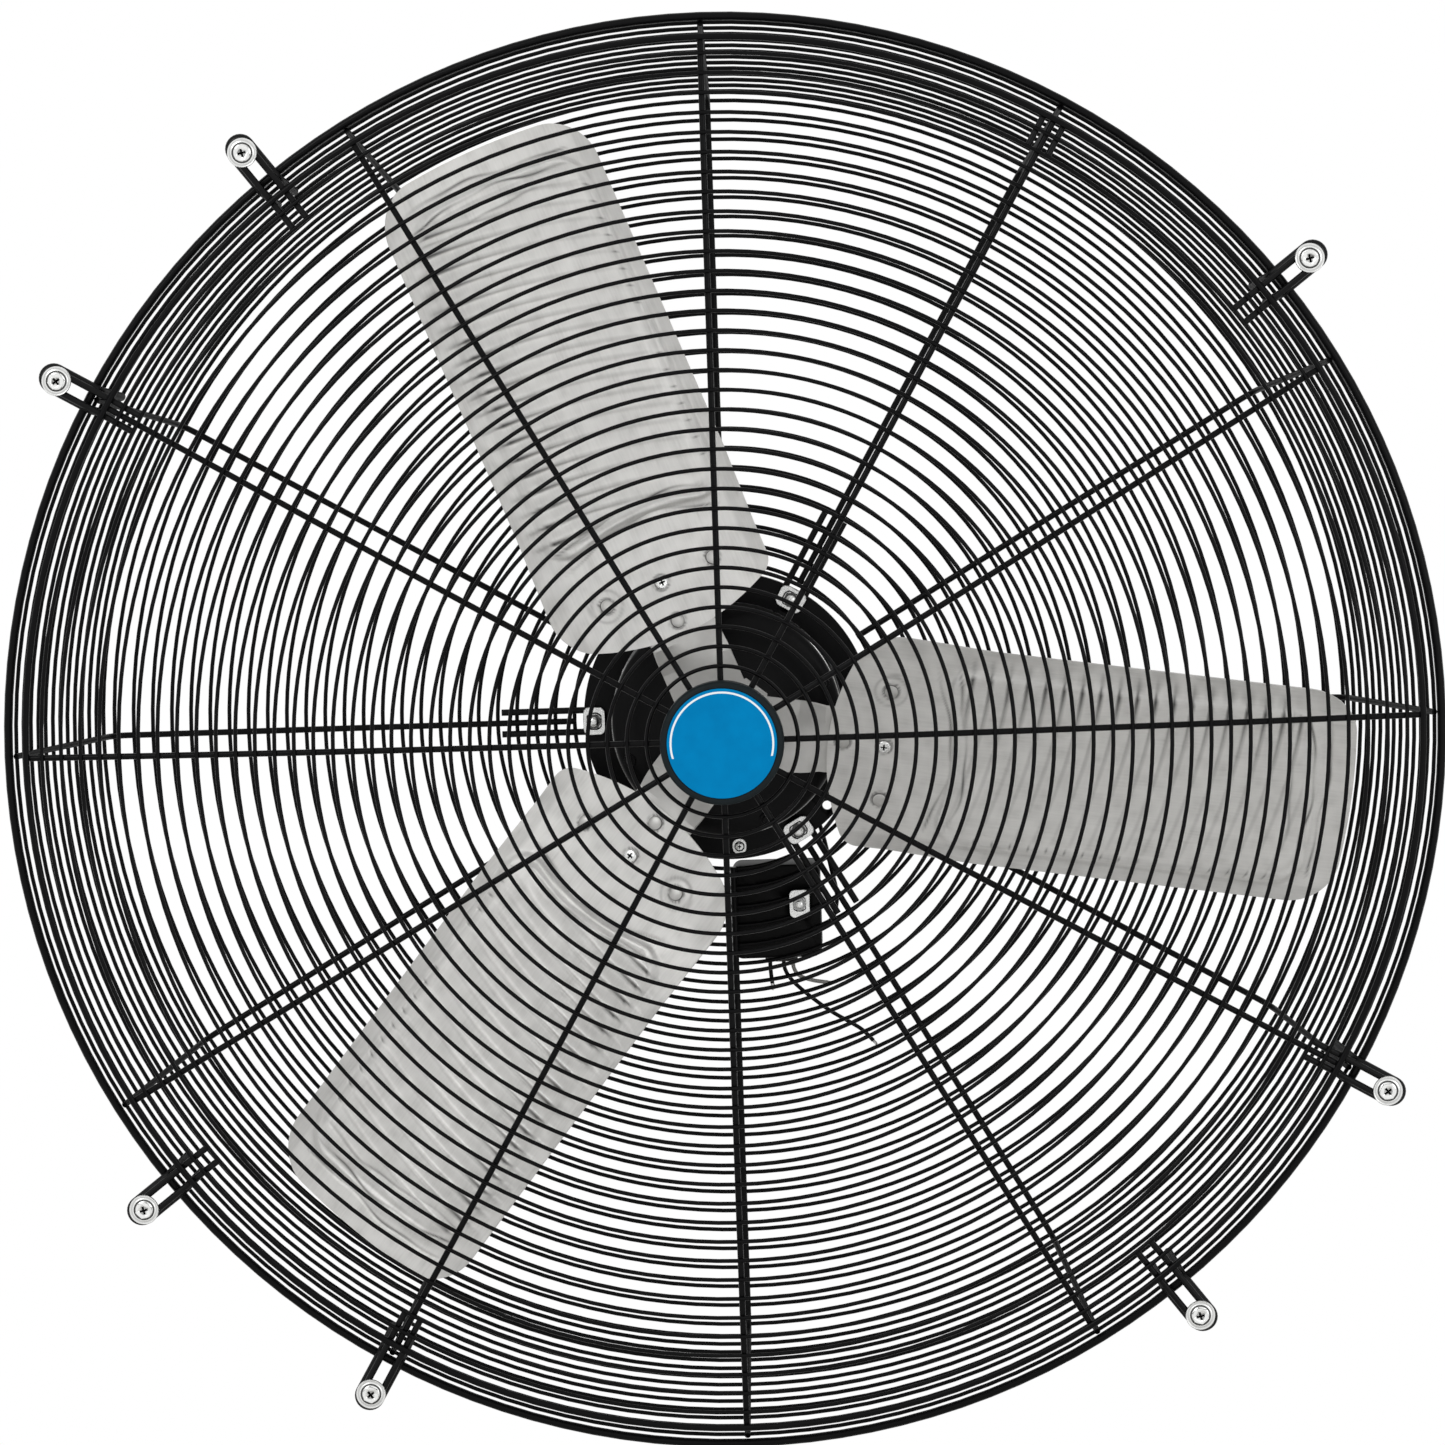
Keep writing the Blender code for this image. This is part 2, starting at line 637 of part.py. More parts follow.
def build_mount_fasteners(screw_material, washer_material):
    """The wall screws and their washers, one of each at every mounting loop."""
    sides = 10
    hole = hole_radius(SCREW_RADIUS + SEAT_GAP, sides)
    washer_profile = [
        (hole, WASHER_BACK_Y), (WASHER_RADIUS, WASHER_BACK_Y),
        (WASHER_RADIUS, WASHER_FRONT_Y), (hole, WASHER_FRONT_Y),
    ]
    crown_y = SCREW_SEAT_Y - SCREW_HEAD_HEIGHT
    shoulder_y = SCREW_SEAT_Y - SCREW_HEAD_HEIGHT / 2
    screw_profile = [
        (0, crown_y), (SCREW_HEAD_RADIUS * 3 / 4, crown_y), (SCREW_HEAD_RADIUS, shoulder_y),
        (SCREW_HEAD_RADIUS, SCREW_SEAT_Y), (SCREW_RADIUS, SCREW_SEAT_Y),
        (SCREW_RADIUS, SCREW_REACH - SCREW_POINT), (0, SCREW_REACH),
    ]
    for number, angle in enumerate(LOOP_ANGLES, 1):
        place = round_place(SCREW_CIRCLE_RADIUS, angle, 0)
        washer = add_object(f"wall_washer_{number}", lathe(washer_profile, sides), washer_material)
        washer.location = place
        screw = add_object(f"wall_screw_{number}", lathe(screw_profile, sides), screw_material)
        screw.location = place


def build_hub_cap(cap_material, badge_material, metal):
    """The cap over the middle of the front guard, its badge, and the plate and screw behind it."""
    sides = 24
    back_y = dome_y(HUB_RING_RADIUS) - RING_WIRE / 2 - SEAT_GAP
    front_y = back_y - CAP_DEPTH
    floor_y = front_y + BADGE_THICKNESS + SEAT_GAP
    spoke_radius = (HUB_RING_RADIUS + FRONT_FIRST_RING_RADIUS) / 2
    plate_y = dome_y(spoke_radius) + RING_WIRE / 2 + SEAT_GAP + SPOKE_WIRE + SEAT_GAP
    post_y = plate_y - SEAT_GAP
    hole = CAP_SCREW_RADIUS + SEAT_GAP
    inner = CAP_RADIUS - CAP_WALL
    profile = [
        (0, floor_y), (BADGE_RADIUS + SEAT_GAP, floor_y), (BADGE_RADIUS + SEAT_GAP, front_y),
        (CAP_RADIUS - CAP_EDGE_ROUND, front_y), (CAP_RADIUS, front_y + CAP_EDGE_ROUND), (CAP_RADIUS, back_y),
        (inner, back_y), (inner, floor_y + CAP_WALL), (CAP_POST_RADIUS, floor_y + CAP_WALL),
        (CAP_POST_RADIUS, post_y), (hole, post_y),
        (hole, post_y - CAP_SCREW_LENGTH - CUT_OVERRUN), (0, post_y - CAP_SCREW_LENGTH - CUT_OVERRUN),
    ]
    add_object("hub_cap", lathe(profile, sides), cap_material)
    badge = [(0, front_y), (BADGE_RADIUS, front_y), (BADGE_RADIUS, front_y + BADGE_THICKNESS),
             (0, front_y + BADGE_THICKNESS)]
    add_object("hub_badge", lathe(badge, sides), badge_material)
    plate_back_y = plate_y + PLATE_THICKNESS
    plate = [(hole, plate_y), (PLATE_RADIUS, plate_y), (PLATE_RADIUS, plate_back_y), (hole, plate_back_y)]
    add_object("cap_plate", lathe(plate, sides), cap_material)
    seat_y = plate_back_y + SEAT_GAP
    screw = [
        (0, post_y - CAP_SCREW_LENGTH), (CAP_SCREW_RADIUS, post_y - CAP_SCREW_LENGTH),
        (CAP_SCREW_RADIUS, seat_y), (CAP_SCREW_HEAD_RADIUS, seat_y),
        (CAP_SCREW_HEAD_RADIUS, seat_y + CAP_SCREW_HEAD_HEIGHT), (0, seat_y + CAP_SCREW_HEAD_HEIGHT),
    ]
    add_object("cap_screw", lathe(screw, sides // 2), metal)


def shield_profile(end_y, back, closed):
    """Section of an end shield: bearing boss, sloping dish and rim. Back is +1 or -1 along Y."""
    boss = BEARING_RADIUS + BEARING_WALL
    bore = BEARING_RADIUS + SEAT_GAP
    dish_y = end_y + back * BOSS_HEIGHT
    rim_y = dish_y + back * DOME_HEIGHT
    seat_y = end_y + back * BEARING_LIP
    mouth_y = seat_y + back * (SEAT_GAP + BEARING_WIDTH)
    shaft_hole = SHAFT_RADIUS + RUNNING_CLEARANCE + SEAT_GAP
    profile = [
        (boss, end_y), (boss, dish_y), (SHELL_RADIUS - SHIELD_WALL, rim_y - back * SHIELD_WALL / 2),
        (SHELL_RADIUS, rim_y), (SHELL_RADIUS, rim_y + back * SHIELD_WALL),
        (SHELL_RADIUS - SHELL_WALL, rim_y + back * SHIELD_WALL), (boss, dish_y + back * SHIELD_WALL),
        (boss, mouth_y), (bore, mouth_y), (bore, seat_y),
    ]
    if closed:
        return [(0, end_y), *profile, (0, seat_y)]
    return [*profile, (shaft_hole, seat_y), (shaft_hole, end_y)]


def build_motor(black, steel, copper, iron):
    """The motor on the basket: shell, shields, mounting flange, stator, rotor and bearings."""
    sides = 24
    rim = BOSS_HEIGHT + DOME_HEIGHT + SHIELD_WALL
    add_object("motor_front_shield", lathe(shield_profile(MOTOR_FRONT_Y, 1, False), sides), black)
    add_object("motor_rear_shield", lathe(shield_profile(MOTOR_BACK_Y, -1, True), sides), black)
    shell_front = MOTOR_FRONT_Y + rim + SEAT_GAP
    shell_back = MOTOR_BACK_Y - rim - SEAT_GAP
    bore = SHELL_BORE
    shell = [(SHELL_RADIUS, shell_front), (SHELL_RADIUS, shell_back), (bore, shell_back), (bore, shell_front)]
    add_object("motor_shell", lathe(shell, sides), black)

    collar = hole_radius(SHELL_RADIUS + SEAT_GAP, sides)
    flange_profile = [
        (collar, FLANGE_FRONT_Y), (FLANGE_RADIUS, FLANGE_FRONT_Y),
        (FLANGE_RADIUS, FLANGE_BACK_Y), (collar, FLANGE_BACK_Y),
    ]
    flange = add_object("motor_flange", lathe(flange_profile, sides, math.pi / sides), black)
    holes = [(angle, LUG_BOLT_RADIUS + SEAT_GAP) for angle in LUG_ANGLES]
    holes.append((SPARE_HOLE_ANGLE, SPARE_HOLE_RADIUS))
    for angle, radius in holes:
        apply_boolean(flange, pin_cutter(round_place(LUG_CIRCLE_RADIUS, angle, 0), radius,
                                         FLANGE_FRONT_Y, FLANGE_BACK_Y, black), "DIFFERENCE")

    turns = END_TURN_ROOM + END_TURN_LENGTH + SEAT_GAP
    core_front, core_back = shell_front + turns, shell_back - turns
    sleeve_bore = ROTOR_RADIUS + AIR_GAP
    sleeve = sleeve_bore + WINDING_SLEEVE
    core = [(sleeve + SEAT_GAP, core_front), (bore - SEAT_GAP, core_front),
            (bore - SEAT_GAP, core_back), (sleeve + SEAT_GAP, core_back)]
    add_object("stator_core", lathe(core, sides), iron)
    turn_front, turn_back = core_front - SEAT_GAP, core_back + SEAT_GAP
    winding = [
        (sleeve_bore, turn_front - END_TURN_LENGTH), (WINDING_RADIUS, turn_front - END_TURN_LENGTH),
        (WINDING_RADIUS, turn_front), (sleeve, turn_front), (sleeve, turn_back), (WINDING_RADIUS, turn_back),
        (WINDING_RADIUS, turn_back + END_TURN_LENGTH), (sleeve_bore, turn_back + END_TURN_LENGTH),
    ]
    add_object("stator_winding", lathe(winding, sides), copper)
    rotor_bore = SHAFT_RADIUS + SEAT_GAP
    rotor = [(rotor_bore, core_front), (ROTOR_RADIUS, core_front), (ROTOR_RADIUS, core_back),
             (rotor_bore, core_back)]
    add_object("rotor_core", lathe(rotor, sides * 2 // 3), iron)
    bearing_bore = hole_radius(SHAFT_RADIUS + RUNNING_CLEARANCE, sides)
    for name, end_y, back in (("front_bearing", MOTOR_FRONT_Y, 1), ("rear_bearing", MOTOR_BACK_Y, -1)):
        near = end_y + back * (BEARING_LIP + SEAT_GAP)
        far = near + back * BEARING_WIDTH
        bearing = [(bearing_bore, near), (BEARING_RADIUS, near), (BEARING_RADIUS, far), (bearing_bore, far)]
        add_object(name, lathe(bearing, sides), steel)
    nose_y = PROP_Y - HUB_LENGTH / 2 - SHAFT_NOSE
    tail_y = MOTOR_BACK_Y - BEARING_LIP - SEAT_GAP
    shaft = [(0, nose_y), (SHAFT_RADIUS, nose_y), (SHAFT_RADIUS, tail_y), (0, tail_y)]
    add_object("motor_shaft", lathe(shaft, sides), steel)


def pin_cutter(place, radius, front_y, back_y, material):
    """A round cutter along Y that runs past both faces of what it cuts."""
    sides = 12
    corner = hole_radius(radius, sides)
    front, back = front_y - CUT_OVERRUN, back_y + CUT_OVERRUN
    cutter = add_object("cutter", lathe([(0, front), (corner, front), (corner, back), (0, back)], sides), material)
    cutter.location = place
    bpy.context.view_layer.update()
    return cutter


def plate_with_hole(name, size, place, turn, hole, material):
    """A square-cut clamp washer: a plate of (width, height) between two Y places, with one hole."""
    width, height, front_y, back_y = size
    plate = add_object(name, box_mesh((-width / 2, front_y, -height / 2), (width / 2, back_y, height / 2)),
                       material)
    apply_boolean(plate, pin_cutter((0, 0, 0), hole, front_y, back_y, material), "DIFFERENCE")
    plate.location = place
    plate.rotation_euler = (0, turn, 0)
    return plate


def build_motor_mounts(black, zinc):
    """Hairpins that carry the motor flange on the basket's rings, with their bolts and clamp washers."""
    half = HAIRPIN_PITCH / 2
    end_radius = LUG_CIRCLE_RADIUS + HAIRPIN_REACH
    steps = 4
    head_front = FLANGE_BACK_Y + SEAT_GAP
    nut_back = LUG_WASHER_FRONT_Y - SEAT_GAP
    nut_front = nut_back - LUG_NUT_HEIGHT
    tip_front = nut_front - LUG_BOLT_RADIUS / 2
    bolt = [
        (0, tip_front), (LUG_BOLT_RADIUS, tip_front), (LUG_BOLT_RADIUS, nut_front), (LUG_NUT_RADIUS, nut_front),
        (LUG_NUT_RADIUS, nut_back), (LUG_BOLT_RADIUS, nut_back), (LUG_BOLT_RADIUS, head_front),
        (LUG_NUT_RADIUS, head_front), (LUG_NUT_RADIUS, head_front + LUG_BOLT_HEAD_HEIGHT),
        (0, head_front + LUG_BOLT_HEAD_HEIGHT),
    ]
    for number, angle in enumerate(LUG_ANGLES, 1):
        path = [(end_radius, half, HAIRPIN_Y)]
        for i in range(steps + 1):
            turn = math.pi / 2 + math.pi * i / steps
            path.append((LUG_CIRCLE_RADIUS + half * math.cos(turn), half * math.sin(turn), HAIRPIN_Y))
        path.append((end_radius, -half, HAIRPIN_Y))
        wire = sweep(turned_to(angle, path), HAIRPIN_WIRE, Vector((0, 1, 0)))
        add_object(f"motor_hairpin_{number}", wire, black)
        place = round_place(LUG_CIRCLE_RADIUS, angle, 0)
        size = (LUG_WASHER_LENGTH, LUG_WASHER_WIDTH, LUG_WASHER_FRONT_Y, LUG_WASHER_BACK_Y)
        plate_with_hole(f"lug_washer_{number}", size, place, -angle, LUG_BOLT_RADIUS + SEAT_GAP, zinc)
        made = add_object(f"lug_bolt_{number}", lathe(bolt, 6), zinc)
        made.location = place


def blade_matrix(angle):
    """A blade's turn on the hub: its X runs out from the hub, Y along the chord, Z to the room side.

    Y points to the leading edge, which goes round anticlockwise as the room sees it. That edge stands
    nearer to the room, so the turning fan draws air out of it.
    """
    outward = Vector((math.cos(angle), 0, math.sin(angle)))
    tangent = Vector((-math.sin(angle), 0, math.cos(angle)))
    axis = Vector((0, 1, 0))
    chord = tangent * math.cos(BLADE_PITCH) - axis * math.sin(BLADE_PITCH)
    face = -tangent * math.sin(BLADE_PITCH) - axis * math.cos(BLADE_PITCH)
    return Matrix((outward, chord, face)).transposed().to_4x4()


def corner_loss(distance, rounding):
    """How far a rounded corner pulls an end edge back at a distance from the side edge."""
    if distance >= rounding:
        return 0.0
    return rounding - math.sqrt(rounding ** 2 - (rounding - distance) ** 2)


def blade_columns():
    """Chord places of the blade's grid, from the trailing edge to the leading edge."""
    near = [0.0, BLADE_TIP_ROUND * (1 - math.sqrt(0.5)), BLADE_PANEL_INSET,
            BLADE_PANEL_INSET + BLADE_PANEL_BORDER]
    middle_share = 1 / 3
    width = BLADE_TRAIL_WIDTH + BLADE_LEAD_WIDTH
    columns = [-BLADE_TRAIL_WIDTH + d for d in near]
    columns.append(-BLADE_TRAIL_WIDTH + width * middle_share)
    columns.append(BLADE_LEAD_WIDTH - width * middle_share)
    columns += [BLADE_LEAD_WIDTH - d for d in reversed(near)]
    return columns


PANEL_ROW_SHARES = (0.0, 0.13, 0.235, 0.245, 0.45, 0.66, 0.885, 0.895, 1.0)
PANEL_FIRST_ROW = 3
PANEL_LAST_ROW = 6
RIVET_SHARES = ((0.80, 0.37), (0.02, 0.39), (0.02, 1.36), (-0.82, 0.35))


def blade_mesh():
    """One pressed sheet blade in its own frame, with a rounded tip and a raised panel."""
    bm = bmesh.new()
    columns = blade_columns()
    half_chord = (BLADE_TRAIL_WIDTH + BLADE_LEAD_WIDTH) / 2
    middle = (BLADE_LEAD_WIDTH - BLADE_TRAIL_WIDTH) / 2
    front, back = [], []
    for number, chord in enumerate(columns):
        edge = min(chord + BLADE_TRAIL_WIDTH, BLADE_LEAD_WIDTH - chord)
        tip = math.sqrt(TIP_RADIUS ** 2 - (chord * math.cos(BLADE_PITCH)) ** 2)
        tip -= corner_loss(edge, BLADE_TIP_ROUND)
        root = BLADE_ROOT_RADIUS + BLADE_ROOT_SWEEP * (chord / half_chord) ** 2
        root += corner_loss(edge, BLADE_ROOT_ROUND)
        front_column, back_column = [], []
        for row, share in enumerate(PANEL_ROW_SHARES):
            radius = root + (tip - root) * share
            fade = min(max((radius - ARM_LENGTH) / CAMBER_RUN, 0.0), 1.0)
            height = BLADE_CAMBER * fade * ((chord - middle) / half_chord) ** 2
            if PANEL_FIRST_ROW <= row <= PANEL_LAST_ROW and 3 <= number <= len(columns) - 4:
                height += BLADE_PANEL_HEIGHT
            back_column.append(bm.verts.new((radius, chord, height)))
            front_column.append(bm.verts.new((radius, chord, height + BLADE_THICKNESS)))
        front.append(front_column)
        back.append(back_column)
    rows = len(PANEL_ROW_SHARES)
    for sheet, flip in ((front, False), (back, True)):
        for here, there in zip(sheet, sheet[1:]):
            for j in range(rows - 1):
                face = (here[j], here[j + 1], there[j + 1], there[j])
                bm.faces.new(tuple(reversed(face)) if flip else face)
    rim_front = front[0] + [c[-1] for c in front[1:]] + front[-1][-2::-1] + [c[0] for c in front[-2:0:-1]]
    rim_back = back[0] + [c[-1] for c in back[1:]] + back[-1][-2::-1] + [c[0] for c in back[-2:0:-1]]
    for i in range(len(rim_front)):
        j = (i + 1) % len(rim_front)
        bm.faces.new((rim_front[i], rim_front[j], rim_back[j], rim_back[i]))
    return bm


def rivet_places():
    """Rivet centres in a blade's own frame, as shares of the arm head's depth and half widths."""
    places = []
    for chord_share, depth_share in RIVET_SHARES:
        reach = ARM_HEAD_LEAD if chord_share > 0 else ARM_HEAD_TRAIL
        places.append((ARM_LENGTH - ARM_HEAD_DEPTH * depth_share, reach * chord_share))
    return places


def peg(place, radii, heights, matrix, sides):
    """A stepped round peg along a blade's own Z axis, at a place in the blade's frame."""
    profile = [(0, heights[0])]
    for radius, low, high in zip(radii, heights, heights[1:]):
        profile += [(radius, low), (radius, high)]
    profile.append((0, heights[-1]))
    bm = lathe(profile, sides)
    upright = Matrix.Rotation(math.radians(90), 4, "X")
    bmesh.ops.transform(bm, matrix=upright, verts=bm.verts)
    bmesh.ops.translate(bm, vec=(place[0], place[1], 0), verts=bm.verts)
    bmesh.ops.transform(bm, matrix=matrix, verts=bm.verts)
    return bm


def arm_mesh():
    """A spider arm in a blade's own frame: a flat bar that widens under the blade's root."""
    half = ARM_WIDTH / 2
    outline = [
        (HUB_RADIUS / 2, -half), (ARM_FLARE_RADIUS, -half), (ARM_HEAD_RADIUS, -ARM_HEAD_TRAIL),
        (ARM_LENGTH - ARM_HEAD_CORNER, -ARM_HEAD_TRAIL), (ARM_LENGTH, -ARM_HEAD_TRAIL + ARM_HEAD_CORNER),
        (ARM_LENGTH, ARM_HEAD_LEAD - ARM_HEAD_CORNER), (ARM_LENGTH - ARM_HEAD_CORNER, ARM_HEAD_LEAD),
        (ARM_HEAD_RADIUS, ARM_HEAD_LEAD), (ARM_FLARE_RADIUS, half), (HUB_RADIUS / 2, half),
    ]
    bm = bmesh.new()
    low = [bm.verts.new((x, y, -SEAT_GAP - ARM_THICKNESS)) for x, y in outline]
    high = [bm.verts.new((x, y, -SEAT_GAP)) for x, y in outline]
    bm.faces.new(low)
    bm.faces.new(high)
    for i in range(len(outline)):
        j = (i + 1) % len(outline)
        bm.faces.new((low[i], low[j], high[j], high[i]))
    return bm


def build_propeller(sheet, spider_steel, steel):
    """Three blades riveted to the arms of a steel spider, whose hub is screwed to the shaft."""
    sides = 16
    small = 8
    axis = add_empty("propeller_axis", (0, PROP_Y, 0))
    half = HUB_LENGTH / 2
    bore = hole_radius(SHAFT_RADIUS + SEAT_GAP, sides)
    hub = [(bore, -half), (HUB_RADIUS, -half), (HUB_RADIUS, half), (bore, half)]
    spider = add_object("hub_spider", lathe(hub, sides), spider_steel, axis)
    shank_hole = hole_radius(RIVET_SHANK_RADIUS + SEAT_GAP, small)
    head_low = BLADE_THICKNESS + SEAT_GAP
    for number in range(1, BLADE_COUNT + 1):
        matrix = blade_matrix(BLADE_ANGLE + math.tau * (number - 1) / BLADE_COUNT)
        blade = add_object(f"blade_{number}", blade_mesh(), sheet, axis)
        blade.matrix_basis = matrix
        arm = arm_mesh()
        bmesh.ops.transform(arm, matrix=matrix, verts=arm.verts)
        apply_boolean(spider, add_object("arm", arm, spider_steel, axis), "UNION")
        for place in rivet_places():
            cut = peg(place, (shank_hole,), (-CUT_OVERRUN, BLADE_THICKNESS + CUT_OVERRUN), matrix, small)
            apply_boolean(blade, add_object("cutter", cut, steel, axis), "DIFFERENCE")
            rivet = peg(place, (RIVET_SHANK_RADIUS, RIVET_HEAD_RADIUS),
                        (-SEAT_GAP - ARM_THICKNESS / 2, head_low, head_low + RIVET_HEAD_HEIGHT), matrix, 6)
            apply_boolean(spider, add_object("rivet", rivet, steel, axis), "UNION")
    end = half + HUB_RADIUS
    core = add_object("cutter", lathe([(0, -end), (bore, -end), (bore, end), (0, end)], sides), steel, axis)
    apply_boolean(spider, core, "DIFFERENCE")

    angle = BLADE_ANGLE + math.pi / BLADE_COUNT
    turn = Matrix.Rotation(-angle, 4, "Y") @ Matrix.Rotation(math.radians(-90), 4, "Z")
    hole = hole_radius(SET_SCREW_RADIUS + SEAT_GAP, small)
    mouth = HUB_RADIUS + CUT_OVERRUN
    cut = lathe([(0, SHAFT_RADIUS / 2), (hole, SHAFT_RADIUS / 2), (hole, mouth), (0, mouth)], small)
    bmesh.ops.transform(cut, matrix=turn, verts=cut.verts)
    apply_boolean(spider, add_object("cutter", cut, steel, axis), "DIFFERENCE")
    tip, top = SHAFT_RADIUS + SEAT_GAP, HUB_RADIUS - SET_SCREW_RADIUS / 2
    screw = lathe([(0, tip), (SET_SCREW_RADIUS, tip), (SET_SCREW_RADIUS, top), (0, top)], small)
    bmesh.ops.transform(screw, matrix=turn, verts=screw.verts)
    add_object("hub_set_screw", screw, steel, axis)


def box_outline(inset):
    """The junction box's outline, with rounded corners, drawn in by an inset."""
    steps = 2
    radius = BOX_CORNER_RADIUS - inset
    places = []
    for quarter in range(4):
        for i in range(steps + 1):
            angle = math.pi / 2 * (quarter + i / steps)
            sign_x = 1 if quarter in (0, 3) else -1
            sign_z = 1 if quarter in (0, 1) else -1
            places.append((
                BOX_X + sign_x * (BOX_WIDTH / 2 - BOX_CORNER_RADIUS) + radius * math.cos(angle),
                BOX_Z + sign_z * (BOX_HEIGHT / 2 - BOX_CORNER_RADIUS) + radius * math.sin(angle),
            ))
    return places


def extruded(rows):
    """A closed solid through outlines of equal point counts, capped at both ends."""
    bm = bmesh.new()
    made = [[bm.verts.new((x, y, z)) for x, z in outline] for outline, y in rows]
    for here, there in zip(made, made[1:]):
        for i in range(len(here)):
            j = (i + 1) % len(here)
            bm.faces.new((here[i], here[j], there[j], there[i]))
    bm.faces.new(made[0])
    bm.faces.new(made[-1])
    return bm


def build_junction_box(black, zinc, rubber):
    """The box for the motor's wiring on the back of the basket, with its cover, clamp and grommet."""
    front_y = REAR_DISC_Y + RING_WIRE / 2 + SEAT_GAP
    back_y = front_y + BOX_DEPTH
    outer, inner = box_outline(0), box_outline(BOX_WALL)
    shell = extruded([(outer, front_y), (outer, back_y), (inner, back_y), (inner, front_y + BOX_WALL)])
    box = add_object("junction_box", shell, black)
    cover_y = back_y + SEAT_GAP
    add_object("box_cover", extruded([(outer, cover_y), (outer, cover_y + BOX_COVER_THICKNESS)]), black)

    clamp_radius = REAR_INNER_RADIUS + REAR_RING_PITCH * 5 / 2
    place = round_place(clamp_radius, CLAMP_ANGLE, 0)
    hole = CLAMP_BOLT_RADIUS + SEAT_GAP
    apply_boolean(box, pin_cutter(place, hole, front_y, front_y + BOX_WALL, black), "DIFFERENCE")
    washer_back = REAR_DISC_Y - RING_WIRE / 2 - SEAT_GAP
    washer_front = washer_back - CLAMP_WASHER_THICKNESS
    size = (CLAMP_WASHER_WIDTH, CLAMP_WASHER_HEIGHT, washer_front, washer_back)
    plate_with_hole("box_clamp_washer", size, place, 0, hole, zinc)
    nut_back = washer_front - SEAT_GAP
    nut_front = nut_back - CLAMP_NUT_HEIGHT
    head_y = front_y + BOX_WALL + SEAT_GAP
    bolt = [
        (0, nut_front), (CLAMP_NUT_RADIUS, nut_front), (CLAMP_NUT_RADIUS, nut_back),
        (CLAMP_BOLT_RADIUS, nut_back), (CLAMP_BOLT_RADIUS, head_y), (CLAMP_NUT_RADIUS, head_y),
        (CLAMP_NUT_RADIUS, head_y + CLAMP_HEAD_HEIGHT), (0, head_y + CLAMP_HEAD_HEIGHT),
    ]
    made = add_object("box_clamp_bolt", lathe(bolt, 6), zinc)
    made.location = place

    floor_z = BOX_Z - BOX_HEIGHT / 2 - SEAT_GAP
    grommet = lathe([(0, 0), (BUSHING_RADIUS, 0), (BUSHING_RADIUS, BUSHING_LENGTH), (0, BUSHING_LENGTH)], 12)
    bmesh.ops.transform(grommet, matrix=Matrix.Rotation(math.radians(-90), 4, "X"), verts=grommet.verts)
    made = add_object("lead_grommet", grommet, rubber)
    made.location = (BUSHING_X, (front_y + back_y) / 2, floor_z)


# Routes of the wires, as points that each smooth curve runs through
SHORT_LEAD = [(0.0245, 0.1668, -0.1851), (0.0246, 0.1666, -0.1905), (0.0250, 0.1663, -0.1960),
              (0.0256, 0.1658, -0.2015)]
LONG_LEAD = [(0.0345, 0.1668, -0.1851), (0.0350, 0.1666, -0.1905), (0.0385, 0.1660, -0.1975),
             (0.0461, 0.1645, -0.2055), (0.0593, 0.1625, -0.2165), (0.0706, 0.1610, -0.2245),
             (0.0819, 0.1597, -0.2312), (0.0913, 0.1588, -0.2374), (0.0990, 0.1580, -0.2455)]
GREY_LEAD = [(0.0415, 0.1668, -0.1851), (0.0418, 0.1667, -0.1905), (0.0455, 0.1662, -0.1962),
             (0.0550, 0.1655, -0.2000), (0.0670, 0.1650, -0.2020)]
MOTOR_LEAD = [(0.0562, 0.1650, -0.0640), (0.0610, 0.1650, -0.0740), (0.0670, 0.1650, -0.0940),
              (0.0720, 0.1652, -0.1180), (0.0755, 0.1655, -0.1380), (0.0720, 0.1658, -0.1540),
              (0.0642, 0.1660, -0.1590)]


def smooth_route(points, spacing):
    """Evenly spaced points on a smooth curve through a route's own points."""
    dense = []
    steps = 24
    for i in range(len(points) - 1):
        a = Vector(points[max(i - 1, 0)])
        b, c = Vector(points[i]), Vector(points[i + 1])
        d = Vector(points[min(i + 2, len(points) - 1)])
        for k in range(steps):
            t = k / steps
            dense.append(0.5 * (2 * b + (c - a) * t + (2 * a - 5 * b + 4 * c - d) * t ** 2
                                + (3 * b - a - 3 * c + d) * t ** 3))
    dense.append(Vector(points[-1]))
    length = sum((q - p).length for p, q in zip(dense, dense[1:]))
    count = max(2, round(length / spacing))
    even, run, target = [dense[0]], 0.0, length / count
    for p, q in zip(dense, dense[1:]):
        step = (q - p).length
        while run + step >= target - 1e-9 and len(even) < count:
            even.append(p.lerp(q, (target - run) / step))
            target += length / count
        run += step
    even.append(dense[-1])
    return even, length


def build_leads(black, grey):
    """The motor's own lead to the box, and the three bare supply leads below it."""
    routes = (
        ("lead_short", SHORT_LEAD, black), ("lead_long", LONG_LEAD, black),
        ("lead_grey", GREY_LEAD, grey), ("motor_lead", MOTOR_LEAD, black),
    )
    for name, route, material in routes:
        points, length = smooth_route(route, LEAD_DIAMETER * 3)
        print(name, "length", round(length, 4))
        curve = bpy.data.curves.new(name, "CURVE")
        curve.dimensions = "3D"
        curve.bevel_depth = LEAD_DIAMETER / 2
        curve.bevel_resolution = 2
        curve.use_fill_caps = True
        curve.render_resolution_u = 0
        spline = curve.splines.new("POLY")
        spline.points.add(len(points) - 1)
        for target, point in zip(spline.points, points):
            target.co = (*point, 1)
        curve.materials.append(material)
        made = bpy.data.objects.new(name, curve)
        bpy.context.collection.objects.link(made)


